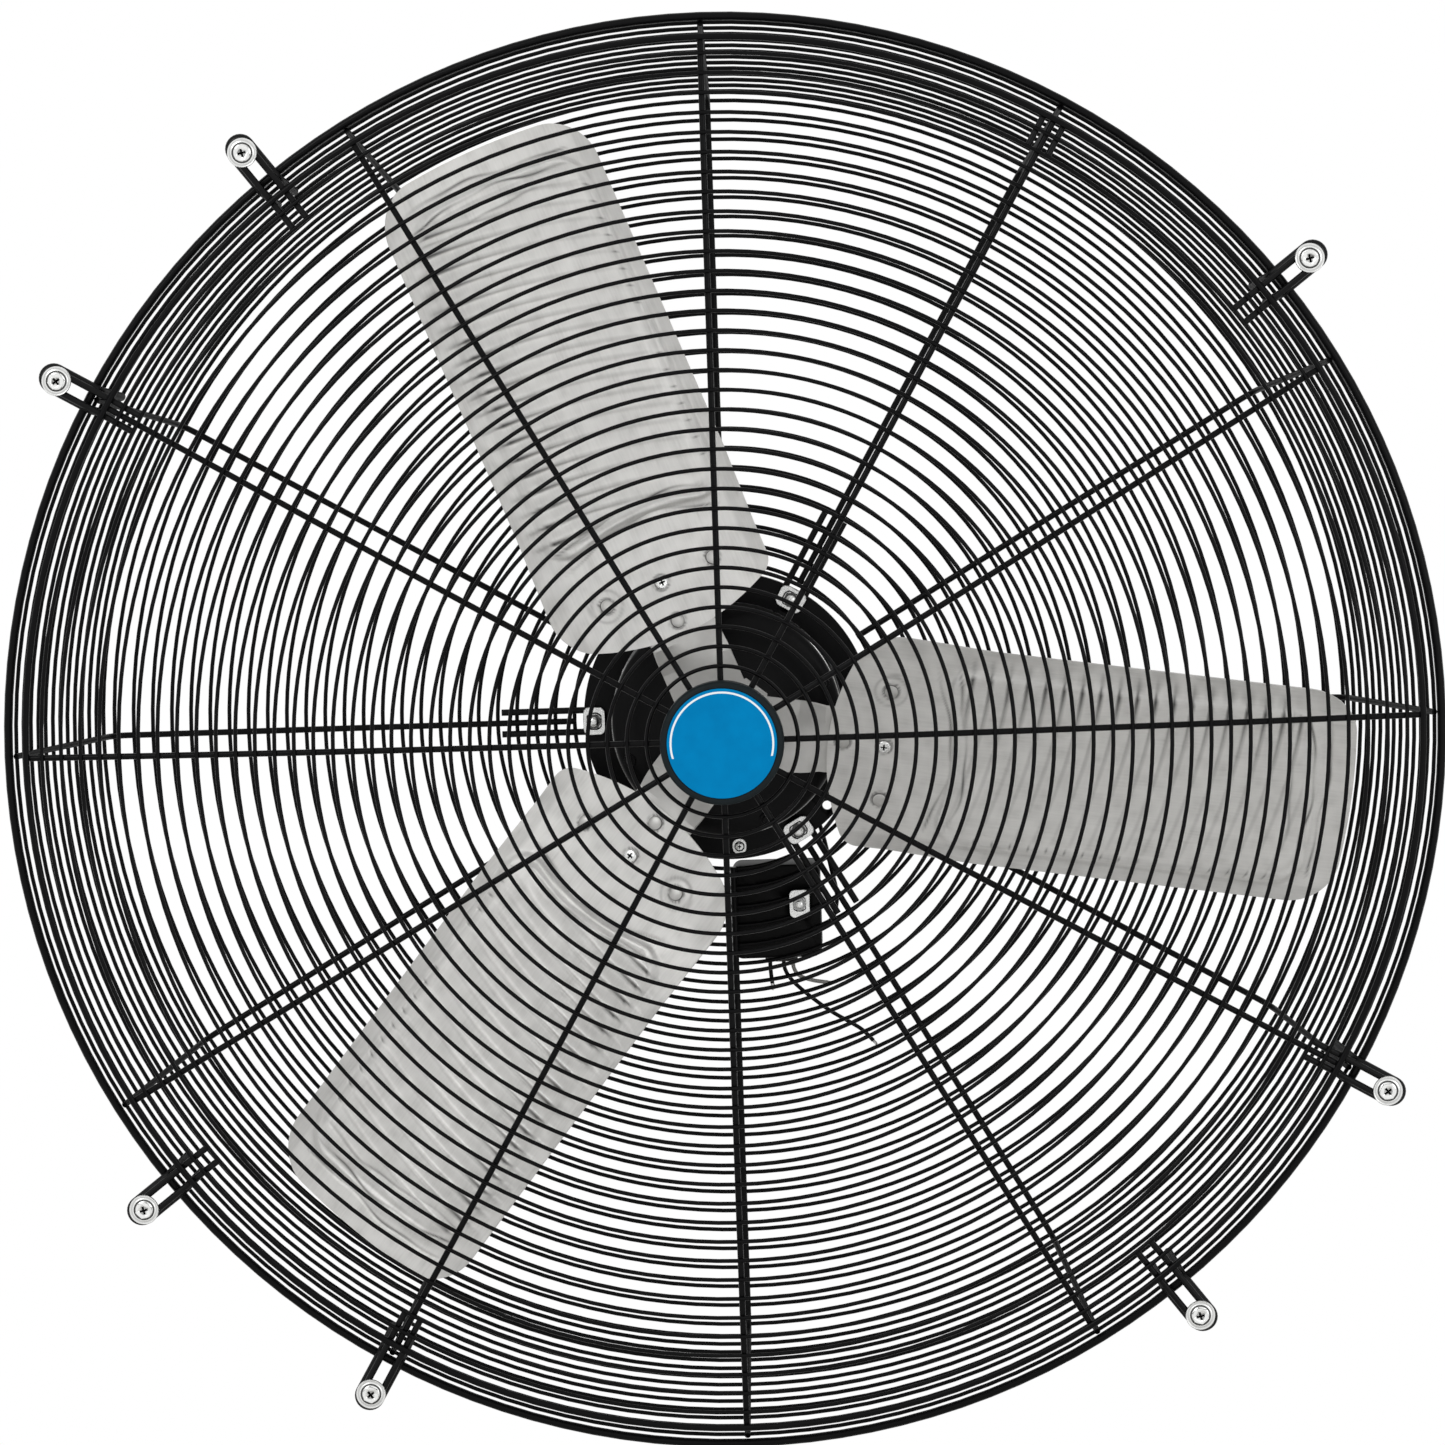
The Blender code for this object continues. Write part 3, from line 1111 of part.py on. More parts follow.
def build():
    """Clear the scene and build every piece of the fan."""
    for old in list(bpy.data.objects):
        bpy.data.objects.remove(old)
    black_wire = make_material("Black_coated_wire", (0.008, 0.008, 0.009), 0.35, 0.0)
    black_paint = make_material("Black_motor_paint", (0.010, 0.010, 0.011), 0.45, 0.0)
    black_plastic = make_material("Black_plastic", (0.022, 0.024, 0.026), 0.40, 0.0)
    blue_label = make_material("Blue_label", (0.0, 0.190, 0.503), 0.35, 0.0)
    zinc = make_material("Zinc_plated_steel", (0.700, 0.700, 0.700), 0.30, 1.0)
    galvanised = make_material("Galvanised_sheet", (0.600, 0.590, 0.560), 0.40, 1.0)
    spider_steel = make_material("Spider_steel", (0.350, 0.345, 0.335), 0.45, 1.0)
    shaft_steel = make_material("Shaft_steel", (0.550, 0.550, 0.560), 0.30, 1.0)
    copper = make_material("Copper_winding", (0.600, 0.230, 0.110), 0.45, 1.0)
    iron = make_material("Core_iron", (0.180, 0.180, 0.190), 0.60, 1.0)
    rubber = make_material("Black_rubber", (0.015, 0.015, 0.016), 0.70, 0.0)
    grey_lead = make_material("Grey_lead", (0.450, 0.450, 0.440), 0.50, 0.0)

    build_front_guard(black_wire)
    build_rear_guard(black_wire)
    build_mount_fasteners(zinc, zinc)
    build_hub_cap(black_plastic, blue_label, zinc)
    build_motor(black_paint, shaft_steel, copper, iron)
    build_motor_mounts(black_wire, zinc)
    build_propeller(galvanised, spider_steel, shaft_steel)
    build_junction_box(black_paint, zinc, rubber)
    build_leads(rubber, grey_lead)


build()
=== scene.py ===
"""The finished look of a guard-mounted exhaust fan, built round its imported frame.

Lengths are in metres. The fan's axis is Y: the domed front guard looks towards -Y, the motor stands in
the wire basket towards +Y, and +Z is up. A radius and an angle are measured about that axis, from +X
towards +Z.
"""

import math

import bmesh
import bpy
import numpy as np
from mathutils import Matrix, Quaternion, Vector


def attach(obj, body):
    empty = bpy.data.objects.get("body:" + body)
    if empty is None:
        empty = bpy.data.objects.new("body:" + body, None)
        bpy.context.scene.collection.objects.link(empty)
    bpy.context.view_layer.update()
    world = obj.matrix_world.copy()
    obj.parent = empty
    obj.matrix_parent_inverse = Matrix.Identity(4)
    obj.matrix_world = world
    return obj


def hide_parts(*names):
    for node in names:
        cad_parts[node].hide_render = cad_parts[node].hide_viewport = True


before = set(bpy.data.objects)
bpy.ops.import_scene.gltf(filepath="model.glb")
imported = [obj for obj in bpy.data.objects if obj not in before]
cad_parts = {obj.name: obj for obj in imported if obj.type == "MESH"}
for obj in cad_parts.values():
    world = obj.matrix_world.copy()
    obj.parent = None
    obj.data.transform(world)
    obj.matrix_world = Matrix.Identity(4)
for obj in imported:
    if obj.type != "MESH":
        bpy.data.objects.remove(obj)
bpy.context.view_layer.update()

# Sizes of the fan: those that its source has too are the same there
RING_WIRE = 0.003
SPOKE_WIRE = 0.0045
FRONT_HOOP_WIRE = 0.005
REAR_HOOP_WIRE = 0.00635
FRONT_LOOP_WIRE = 0.0048
REAR_LOOP_WIRE = 0.00635
HAIRPIN_WIRE = 0.0048
LEAD_DIAMETER = 0.003
# How deep welded wires sink into each other, and how far apart pieces lie that only touch
WELD_SINK = 0.0004
CLEARANCE = 0.0003

FRONT_HOOP_RADIUS = 0.503
FRONT_HOOP_Y = -0.01395
FRONT_DOME = 0.035
FRONT_FIRST_RADIUS = 0.0543
FRONT_RING_PITCH = 0.0141
FRONT_RING_COUNT = 32
HUB_RING_RADIUS = 0.030
REAR_HOOP_RADIUS = 0.517
REAR_HOOP_Y = 0.003475
REAR_BEND_RADIUS = 0.455
REAR_DISC_Y = 0.144975
REAR_FIRST_RADIUS = 0.113
REAR_RING_PITCH = 0.01413
REAR_RING_COUNT = 25
SIDE_RING_PITCH = 0.0110
SIDE_RING_COUNT = 13
# The way the basket's sides run from its back towards its hoop, outwards and forwards
SLOPE_OUT = 0.4013
SLOPE_FORWARD = 0.916
SPOKE_COUNT = 12
RING_SEGMENTS = 144
RING_SIDES = 8

SCREW_CIRCLE = 0.543
LOOP_CENTRE = 0.546
FRONT_LOOP_Y = -0.00935
REAR_LOOP_Y = -0.003175
FRONT_LOOP_HALF = 0.00625
REAR_LOOP_HALF = 0.00775
RIM_HAIRPIN_HALF = 0.008
RIM_HAIRPIN_ANGLE = math.radians(60)
# Four loops a quarter turn apart, then the same group turned further, of which three exist
LOOP_COUNT = 7
LOOP_GROUP = 4
LOOP_ANGLE = math.radians(37.5)
LOOP_STEP = math.radians(90)
LOOP_GROUP_TURN = math.radians(112.5)
WASHER_RADIUS = 0.0107
WASHER_BACK_Y = -0.01205
WASHER_FRONT_Y = -0.01365
SCREW_SEAT_Y = -0.01395
SCREW_TIP_Y = 0.024
SCREW_RADIUS = 0.003

PROP_Y = 0.050
BLADE_ANGLES = [math.radians(a) for a in (111.5, 231.5, 351.5)]
BLADE_PITCH = math.radians(22)
BLADE_LEAD = 0.0905
BLADE_TRAIL = 0.083
BLADE_TIP = 0.457
BLADE_ROOT = 0.075
BLADE_ROOT_SWEEP = 0.022
BLADE_THICKNESS = 0.0016
# The chord's middle and half, and the pressed panel that the ribs cross
CHORD_MIDDLE = (BLADE_LEAD - BLADE_TRAIL) / 2
CHORD_HALF = (BLADE_LEAD + BLADE_TRAIL) / 2
PANEL_LOW, PANEL_HIGH = 0.168, 0.430
PANEL_TRAIL = -BLADE_TRAIL + 0.0145
PANEL_LEAD = BLADE_LEAD - 0.0210
PANEL_CORNER = 0.020
RIVET_PLACES = ((0.1165, 0.0464), (0.0858, 0.0012), (0.1172, -0.0426))
CROSS_SCREW_PLACE = (0.1159, 0.0012)
ARM_LENGTH = 0.128
ARM_THICKNESS = 0.003
HUB_RADIUS = 0.029
HUB_LENGTH = 0.034
SHAFT_RADIUS = 0.008

MOTOR_FRONT_Y = 0.084
MOTOR_BACK_Y = 0.202
SHELL_RADIUS = 0.084
SHELL_FRONT_Y = 0.1063
SHELL_BACK_Y = 0.1797
FLANGE_RADIUS = 0.106
FLANGE_FRONT_Y = 0.143475
FLANGE_BACK_Y = 0.149475
LUG_CIRCLE = 0.0983
LUG_ANGLE = math.radians(60)
LUG_COUNT = 3
LUG_PLATE_FRONT_Y, LUG_PLATE_BACK_Y = 0.136075, 0.138075
LUG_NUT_FRONT_Y, LUG_NUT_BACK_Y = 0.130775, 0.135775
HAIRPIN_Y = 0.140775
HAIRPIN_HALF = 0.008
HAIRPIN_END = 0.1663

CAP_RADIUS = 0.0445
CAP_FRONT_Y = -0.0646
CAP_BACK_Y = -0.0506
BADGE_RADIUS = 0.0395
PLATE_FRONT_Y = -0.0421
PLATE_BACK_Y = -0.0401

BOX_X, BOX_Z = 0.031, -0.146
BOX_HALF_WIDTH, BOX_HALF_HEIGHT = 0.0325, 0.0345
BOX_FRONT_Y = 0.1468
BOX_BACK_Y = 0.1868
CLAMP_RADIUS = 0.1483
CLAMP_ANGLE = math.radians(-71.1)
CLAMP_PLATE_FRONT_Y, CLAMP_PLATE_BACK_Y = 0.141175, 0.143175
CLAMP_NUT_FRONT_Y, CLAMP_NUT_BACK_Y = 0.136875, 0.140875

# Routes of the wires, as points that each smooth curve runs through
SHORT_LEAD = [(0.0245, 0.1668, -0.1851), (0.0246, 0.1666, -0.1905), (0.0250, 0.1663, -0.1960),
              (0.0256, 0.1658, -0.2015)]
LONG_LEAD = [(0.0345, 0.1668, -0.1851), (0.0350, 0.1666, -0.1905), (0.0385, 0.1660, -0.1975),
             (0.0461, 0.1645, -0.2055), (0.0593, 0.1625, -0.2165), (0.0706, 0.1610, -0.2245),
             (0.0819, 0.1597, -0.2312), (0.0913, 0.1588, -0.2374), (0.0990, 0.1580, -0.2455)]
GREY_LEAD = [(0.0415, 0.1668, -0.1851), (0.0418, 0.1667, -0.1905), (0.0455, 0.1662, -0.1962),
             (0.0550, 0.1655, -0.2000), (0.0670, 0.1650, -0.2020)]
MOTOR_LEAD = [(0.0562, 0.1650, -0.0640), (0.0610, 0.1650, -0.0740), (0.0670, 0.1650, -0.0940),
              (0.0720, 0.1652, -0.1180), (0.0755, 0.1655, -0.1380), (0.0720, 0.1658, -0.1540),
              (0.0642, 0.1660, -0.1590)]
# A route has at least this many steps
LEAST_STEPS = 15
# The frame takes nothing shorter as a cord, so the short lead is a stiff stub
LEAST_CORD = 0.03

# The photograph's view
VIEW_AZIMUTH = math.radians(1.42)
VIEW_ELEVATION = math.radians(5.43)
VIEW_ROLL = math.radians(-1.94)
VIEW_DISTANCE = 7.0
VIEW_LENS = 241.95
VIEW_RIGHT = -0.00066
VIEW_UP = 0.0090

MM = 0.001


def linear(code):
    """An sRGB hex colour as linear red, green, blue and alpha."""
    parts = [int(code[i:i + 2], 16) / 255 for i in (0, 2, 4)]
    return (*[c / 12.92 if c <= 0.04045 else ((c + 0.055) / 1.055) ** 2.4 for c in parts], 1.0)


def add_node(tree, kind, inputs=None, **settings):
    """Add a node with its settings and its inputs, each a value or a link, and give it back."""
    node = tree.nodes.new(kind)
    for name, value in settings.items():
        setattr(node, name, value)
    for key, value in (inputs or {}).items():
        if isinstance(value, bpy.types.NodeSocket):
            tree.links.new(value, node.inputs[key])
        else:
            node.inputs[key].default_value = value
    return node


def add_object(name, data):
    """An object for a mesh, curve, camera or lamp, in the scene."""
    made = bpy.data.objects.new(name, data)
    bpy.context.collection.objects.link(made)
    return made


# ---- camera, floor and light

def build_view():
    """The camera at the photograph's viewing angle."""
    back = Vector((math.sin(VIEW_AZIMUTH) * math.cos(VIEW_ELEVATION),
                   -math.cos(VIEW_AZIMUTH) * math.cos(VIEW_ELEVATION), math.sin(VIEW_ELEVATION)))
    right = Vector((0, 0, 1)).cross(back).normalized()
    up = back.cross(right)
    camera = add_object("camera", bpy.data.cameras.new("camera"))
    camera.data.lens = VIEW_LENS
    camera.data.clip_end = 100
    camera.location = right * VIEW_RIGHT + up * VIEW_UP + back * VIEW_DISTANCE
    camera.rotation_mode = "QUATERNION"
    camera.rotation_quaternion = back.to_track_quat("Z", "Y") @ Quaternion((0, 0, 1), VIEW_ROLL)
    bpy.context.scene.camera = camera


def seen_directly(tree):
    """1 for rays that see the background itself or mirrored, 0 for rays that carry its light."""
    path = add_node(tree, "ShaderNodeLightPath").outputs
    mirrored = add_node(tree, "ShaderNodeMath", {0: path["Is Camera Ray"], 1: path["Is Glossy Ray"]},
                        operation="MAXIMUM")
    return add_node(tree, "ShaderNodeMath", {0: mirrored.outputs[0], 1: path["Is Transmission Ray"]},
                    operation="MAXIMUM").outputs[0]


def build_stage():
    """A pale floor that runs out to white, a white room and two soft lamps."""
    floor_z, floor_radius = -0.75, 3.0
    fade_start, fade_end = 0.6, 1.2
    bm = bmesh.new()
    bmesh.ops.create_circle(bm, cap_ends=True, segments=128, radius=floor_radius)
    bmesh.ops.translate(bm, vec=(0, 0, floor_z), verts=bm.verts)
    mesh = bpy.data.meshes.new("floor")
    bm.to_mesh(mesh)
    bm.free()
    material, tree, place = start_finish("white_studio_floor")
    flat = add_node(tree, "ShaderNodeVectorMath", {0: place, 1: (1, 1, 0)}, operation="MULTIPLY")
    reach = add_node(tree, "ShaderNodeVectorMath", {0: flat.outputs[0]}, operation="LENGTH")
    fade = add_node(tree, "ShaderNodeMapRange",
                    {0: reach.outputs["Value"], 1: fade_start, 2: fade_end}, interpolation_type="SMOOTHSTEP")
    share = add_node(tree, "ShaderNodeMath", {0: fade.outputs[0], 1: seen_directly(tree)},
                     operation="MULTIPLY")
    paper = add_node(tree, "ShaderNodeBsdfDiffuse", {"Color": linear("F4F3F1")})
    glow = add_node(tree, "ShaderNodeEmission", {"Color": (1, 1, 1, 1), "Strength": 1.0})
    mixed = add_node(tree, "ShaderNodeMixShader",
                     {0: share.outputs[0], 1: paper.outputs[0], 2: glow.outputs[0]})
    add_node(tree, "ShaderNodeOutputMaterial", {"Surface": mixed.outputs[0]})
    mesh.materials.append(material)
    floor = add_object("floor", mesh)

    world = bpy.data.worlds.new("white_room")
    world.use_nodes = True
    tree = world.node_tree
    tree.nodes.clear()
    strength = add_node(tree, "ShaderNodeMapRange", {0: seen_directly(tree), 3: 0.75, 4: 1.0})
    sky = add_node(tree, "ShaderNodeBackground", {"Color": (1, 1, 1, 1), "Strength": strength.outputs[0]})
    add_node(tree, "ShaderNodeOutputWorld", {"Surface": sky.outputs[0]})
    bpy.context.scene.world = world

    for name, place, size, power in (("key_lamp", (-2.2, -3.2, 2.6), 2.0, 40),
                                     ("fill_lamp", (2.8, -3.0, 0.8), 2.2, 20)):
        data = bpy.data.lights.new(name, "AREA")
        data.shape = "DISK"
        data.size = size
        data.energy = power
        lamp = add_object(name, data)
        lamp.location = place
        lamp.rotation_mode = "QUATERNION"
        lamp.rotation_quaternion = Vector(place).to_track_quat("Z", "Y")
    bpy.context.scene.view_settings.view_transform = "Standard"


# ---- finishes

def start_finish(name):
    """A material with an empty node tree, and the place of each point on its piece."""
    material = bpy.data.materials.new(name)
    material.use_nodes = True
    tree = material.node_tree
    tree.nodes.clear()
    return material, tree, add_node(tree, "ShaderNodeTexCoord").outputs["Object"]


def coated_finish(name, colours, roughness, grain, depth, mottle, specular=0.5, coat=0.0, metallic=0.0,
                  stretch=(1, 1, 1), painted_shade="0A0A0A"):
    """A finish whose colour varies between two shades over mottle metres, with grain in its face.

    A piece may carry an attribute of painted shade that darkens its colour towards a shade colour, in its
    grooves and recesses and wherever else it is set.
    Ground, turned and sparked grain is finer than a render shows, so it is drawn at 0.5 mm or more.
    """
    material, tree, place = start_finish(name)
    if stretch != (1, 1, 1):
        place = add_node(tree, "ShaderNodeMapping", {"Vector": place, "Scale": stretch}).outputs[0]
    cloud = add_node(tree, "ShaderNodeTexNoise", {"Vector": place, "Scale": 1 / mottle, "Detail": 3})
    colour = add_node(tree, "ShaderNodeMix", {0: cloud.outputs["Fac"], 6: linear(colours[0]),
                                              7: linear(colours[1])}, data_type="RGBA")
    shade_share = add_node(tree, "ShaderNodeAttribute", attribute_name="painted_shade").outputs["Fac"]
    colour = add_node(tree, "ShaderNodeMix", {0: shade_share, 6: colour.outputs[2], 7: linear(painted_shade)},
                      data_type="RGBA")
    fine = add_node(tree, "ShaderNodeTexNoise", {"Vector": place, "Scale": 1 / grain, "Detail": 2})
    polish = add_node(tree, "ShaderNodeMapRange", {0: fine.outputs["Fac"], 3: roughness[0], 4: roughness[1]})
    bump = add_node(tree, "ShaderNodeBump", {"Strength": 0.5, "Distance": depth,
                                             "Height": fine.outputs["Fac"]})
    shader = add_node(tree, "ShaderNodeBsdfPrincipled", {
        "Base Color": colour.outputs[2], "Roughness": polish.outputs[0], "Metallic": metallic,
        "Specular IOR Level": specular, "Coat Weight": coat, "Coat Roughness": 0.12,
        "Normal": bump.outputs[0]})
    add_node(tree, "ShaderNodeOutputMaterial", {"Surface": shader.outputs[0]})
    return material


def badge_finish():
    """Printed vinyl on the cap: flat satin blue ink with one thin white line round most of its edge."""
    line_radius, line_half, line_foot = 0.0367, 0.0007, -0.0098
    cloud_size = 0.012
    material, tree, place = start_finish("printed_vinyl_blue")
    flat = add_node(tree, "ShaderNodeVectorMath", {0: place, 1: (1, 0, 1)}, operation="MULTIPLY")
    reach = add_node(tree, "ShaderNodeVectorMath", {0: flat.outputs[0]}, operation="LENGTH")
    ring = add_node(tree, "ShaderNodeMath", {0: reach.outputs["Value"], 1: line_radius, 2: line_half},
                    operation="COMPARE")
    height = add_node(tree, "ShaderNodeSeparateXYZ", {0: place}).outputs["Z"]
    above = add_node(tree, "ShaderNodeMath", {0: height, 1: line_foot}, operation="GREATER_THAN")
    inked = add_node(tree, "ShaderNodeMath", {0: ring.outputs[0], 1: above.outputs[0]}, operation="MULTIPLY")
    cloud = add_node(tree, "ShaderNodeTexNoise", {"Vector": place, "Scale": 1 / cloud_size, "Detail": 2})
    blue = add_node(tree, "ShaderNodeMix", {0: cloud.outputs["Fac"], 6: linear("0076B0"),
                                            7: linear("0087C4")}, data_type="RGBA")
    colour = add_node(tree, "ShaderNodeMix", {0: inked.outputs[0], 6: blue.outputs[2], 7: linear("F2F5F6")},
                      data_type="RGBA")
    bump = add_node(tree, "ShaderNodeBump", {"Strength": 0.15, "Distance": 0.3 * MM,
                                             "Height": cloud.outputs["Fac"]})
    shader = add_node(tree, "ShaderNodeBsdfPrincipled", {
        "Base Color": colour.outputs[2], "Roughness": 0.42, "Specular IOR Level": 0.03,
        "Normal": bump.outputs[0]})
    add_node(tree, "ShaderNodeOutputMaterial", {"Surface": shader.outputs[0]})
    return material


def blade_finish():
    """Rolled galvanised sheet: fine grain along the blade, faint cloudy spangle, and painted shade and
    painted highlight along its creases.

    A painted light attribute darkens the sheet above 0 as painted shade and brightens it below 0 as a painted
    highlight.
    """
    grain_width, grain_stretch, spangle, smear_size = 1.6 * MM, 0.06, 11 * MM, 50 * MM
    material, tree, _ = start_finish("galvanised_sheet")
    place = add_node(tree, "ShaderNodeAttribute", attribute_name="sheet_place").outputs["Vector"]
    painted_light = add_node(tree, "ShaderNodeAttribute", attribute_name="painted_light").outputs["Fac"]
    along = add_node(tree, "ShaderNodeMapping", {"Vector": place, "Scale": (grain_stretch, 1, 1)}).outputs[0]
    grain = add_node(tree, "ShaderNodeTexNoise", {"Vector": along, "Scale": 1 / grain_width, "Detail": 2})
    cloud = add_node(tree, "ShaderNodeTexVoronoi", {"Vector": place, "Scale": 1 / spangle, "Randomness": 1.0},
                     feature="SMOOTH_F1")
    smear = add_node(tree, "ShaderNodeTexNoise", {"Vector": place, "Scale": 1 / smear_size, "Detail": 4})
    tone = add_node(tree, "ShaderNodeMix", {0: smear.outputs["Fac"], 6: linear("CFCECB"),
                                            7: linear("E4E3E0")}, data_type="RGBA")
    lined = add_node(tree, "ShaderNodeMix", {0: grain.outputs["Fac"], 6: tone.outputs[2],
                                             7: linear("B9B8B5")}, data_type="RGBA")
    spangled = add_node(tree, "ShaderNodeMix", {0: cloud.outputs["Distance"], 6: lined.outputs[2],
                                                7: linear("E4E3E0")}, data_type="RGBA")
    # Painted shade towards dark grey, then a painted highlight towards white
    shaded = add_node(tree, "ShaderNodeMix", {0: painted_light, 6: spangled.outputs[2], 7: linear("3C3B3A")},
                      data_type="RGBA")
    lit = add_node(tree, "ShaderNodeMath", {0: painted_light, 1: -1.0}, operation="MULTIPLY").outputs[0]
    colour = add_node(tree, "ShaderNodeMix", {0: lit, 6: shaded.outputs[2], 7: linear("FFFFFE")},
                      data_type="RGBA")
    polish = add_node(tree, "ShaderNodeMapRange", {0: grain.outputs["Fac"], 3: 0.34, 4: 0.50})
    bump = add_node(tree, "ShaderNodeBump", {"Strength": 0.25, "Distance": 0.3 * MM,
                                             "Height": grain.outputs["Fac"]})
    shader = add_node(tree, "ShaderNodeBsdfPrincipled", {
        "Base Color": colour.outputs[2], "Roughness": polish.outputs[0], "Metallic": 0.45,
        "Normal": bump.outputs[0]})
    add_node(tree, "ShaderNodeOutputMaterial", {"Surface": shader.outputs[0]})
    return material


def build_finishes():
    """Every material of the fan, by the finish it is."""
    made = {}
    # Powder coat on drawn steel wire: black, half gloss, with a faint orange peel
    made["coat"] = coated_finish("black_powder_coat", ("030304", "080809"), (0.26, 0.38), 1.5 * MM, 0.1 * MM,
                                 30 * MM, specular=0.10)
    # The thicker loops took more powder, so their peel is softer and their gloss is lower
    made["loop_coat"] = coated_finish("thick_powder_coat", ("050506", "0B0B0C"), (0.30, 0.42), 2.5 * MM,
                                      0.15 * MM, 20 * MM, specular=0.14)
    # Bright zinc plate on steel fasteners: white metal, tumbled, slightly clouded
    made["zinc"] = coated_finish("bright_zinc_plate", ("E2E3E2", "F6F6F4"), (0.20, 0.36), 0.8 * MM, 0.05 * MM,
                                 4 * MM, metallic=1.0)
    # Moulded ABS: near black, satin, with the fine spark grain of the tool
    made["cap"] = coated_finish("moulded_black_abs", ("12181A", "1B2326"), (0.38, 0.50), 0.9 * MM, 0.08 * MM,
                                15 * MM, specular=0.1)
    made["badge"] = badge_finish()
    # Air-dried black paint on a steel plate: dull, with roller stipple
    made["plate"] = coated_finish("black_plate_paint", ("0A0A0A", "121212"), (0.45, 0.60), 1.2 * MM, 0.1 * MM,
                                  20 * MM, specular=0.08)
    # Stove enamel on the motor's steel: black, half gloss, slight peel, dust greyed in places
    made["motor"] = coated_finish("black_stove_enamel", ("030304", "070708"), (0.28, 0.40), 2.2 * MM,
                                  0.12 * MM, 40 * MM, specular=0.12)
    # Stacked silicon steel sheets: dark grey, ground across their edges into fine lines
    made["iron"] = coated_finish("laminated_core_steel", ("5C5A57", "77746F"), (0.35, 0.55), 1.0 * MM,
                                 0.2 * MM, 6 * MM, metallic=0.9, stretch=(0.05, 1, 0.05))
    # Enamelled copper wire, wound: warm brown metal under a clear amber varnish
    made["copper"] = coated_finish("enamelled_copper_winding", ("7A3A1C", "A8582C"), (0.25, 0.40), 1.0 * MM,
                                   0.4 * MM, 5 * MM, metallic=0.8, coat=0.5, stretch=(1, 0.2, 1))
    # Ground and hardened bearing steel: bright with fine turned lines
    made["bearing"] = coated_finish("ground_bearing_steel", ("9FA1A3", "BDBEBF"), (0.18, 0.30), 0.5 * MM,
                                    0.03 * MM, 10 * MM, metallic=1.0, stretch=(0.1, 1, 0.1))
    # Cold-drawn shaft steel, turned: grey metal with lines round it
    made["shaft"] = coated_finish("turned_shaft_steel", ("8E8F90", "A9AAAB"), (0.24, 0.38), 0.6 * MM,
                                  0.05 * MM, 12 * MM, metallic=1.0, stretch=(0.1, 1, 0.1))
    # Pressed steel with dull zinc on it: greyer and rougher than the blades
    made["spider"] = coated_finish("dull_zinc_plate", ("B8B7B4", "D0CFCC"), (0.36, 0.52), 1.2 * MM, 0.08 * MM,
                                   12 * MM, metallic=0.55)
    # Barrelled zinc on mild steel rivets: a soft grey shine
    made["rivet"] = coated_finish("barrelled_zinc_plate", ("B4B3B0", "CBCAC7"), (0.30, 0.45), 0.9 * MM,
                                  0.06 * MM, 5 * MM, metallic=0.8, painted_shade="3A3A3A")
    made["blade"] = blade_finish()
    # Black textured paint on the pressed junction box
    made["box"] = coated_finish("black_texture_paint", ("030303", "070707"), (0.48, 0.62), 0.9 * MM,
                                0.15 * MM, 25 * MM, specular=0.12)
    # Vulcanised rubber: black, matt, slightly dusty
    made["rubber"] = coated_finish("black_rubber", ("141414", "242322"), (0.62, 0.78), 0.8 * MM, 0.1 * MM,
                                   6 * MM, specular=0.3)
    # PVC lead insulation: extruded smooth and soft, with a low waxy gloss
    made["black_lead"] = coated_finish("black_pvc", ("060606", "101011"), (0.36, 0.48), 1.0 * MM, 0.05 * MM,
                                       12 * MM, specular=0.12)
    made["grey_lead"] = coated_finish("pale_grey_pvc", ("8C8B88", "A9A8A4"), (0.38, 0.50), 1.0 * MM,
                                      0.05 * MM, 12 * MM, specular=0.4)
    # Fine tinned copper strands, spread where a lead is cut
    made["strand"] = coated_finish("tinned_strand", ("8B8987", "B4B2AF"), (0.28, 0.42), 0.5 * MM, 0.02 * MM,
                                   2 * MM, metallic=1.0)
    return made


# ---- shapes

def polar(radius, angle, y, sideways=0.0):
    """A place at a radius and angle about the fan's axis, moved sideways along the circle."""
    return Vector((radius * math.cos(angle) - sideways * math.sin(angle), y,
                   radius * math.sin(angle) + sideways * math.cos(angle)))


def turn_about_axis(angle):
    """A turn that takes +X round the fan's axis to an angle."""
    return Matrix.Rotation(-angle, 4, "Y")


def dome_y(radius):
    """Height of the front guard's ring centres at a radius."""
    return FRONT_HOOP_Y - FRONT_DOME * (1 - (radius / FRONT_HOOP_RADIUS) ** 2)


def new_piece(name, bm, material, sharp=40):
    """Turn a bmesh into an object with smooth faces and sharp edges past an angle in degrees."""
    bmesh.ops.remove_doubles(bm, verts=bm.verts, dist=1e-6)
    bmesh.ops.recalc_face_normals(bm, faces=bm.faces)
    mesh = bpy.data.meshes.new(name)
    bm.to_mesh(mesh)
    bm.free()
    mesh.materials.append(material)
    mesh.shade_smooth()
    mesh.set_sharp_from_angle(angle=math.radians(sharp))
    return add_object(name, mesh)


def paint_shade(piece, shade_at):
    """Store the painted shade of each point of a piece, from 0 to 1, which darkens its colour."""
    mesh = piece.data
    shade_share = mesh.attributes.get("painted_shade") or mesh.attributes.new("painted_shade", "FLOAT", "POINT")
    shade_share.data.foreach_set("value", [shade_at(vertex.co) for vertex in mesh.vertices])
    return piece


def settle(piece):
    """Give a piece the plain mesh that its modifiers make, and take them off."""
    graph = bpy.context.evaluated_depsgraph_get()
    made = bpy.data.meshes.new_from_object(piece.evaluated_get(graph))
    piece.modifiers.clear()
    piece.data = made
    return piece


def numbered(stem, count):
    """The names of a row of CAD nodes, from 1."""
    return [f"{stem}_{n}" for n in range(1, count + 1)]


def dress(piece, body, slot, *nodes):
    """Say which body a piece rides on and which CAD nodes it stands for, and hide those; the slot is not
    used.
    """
    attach(piece, body)
    if nodes:
        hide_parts(*nodes)
    return piece


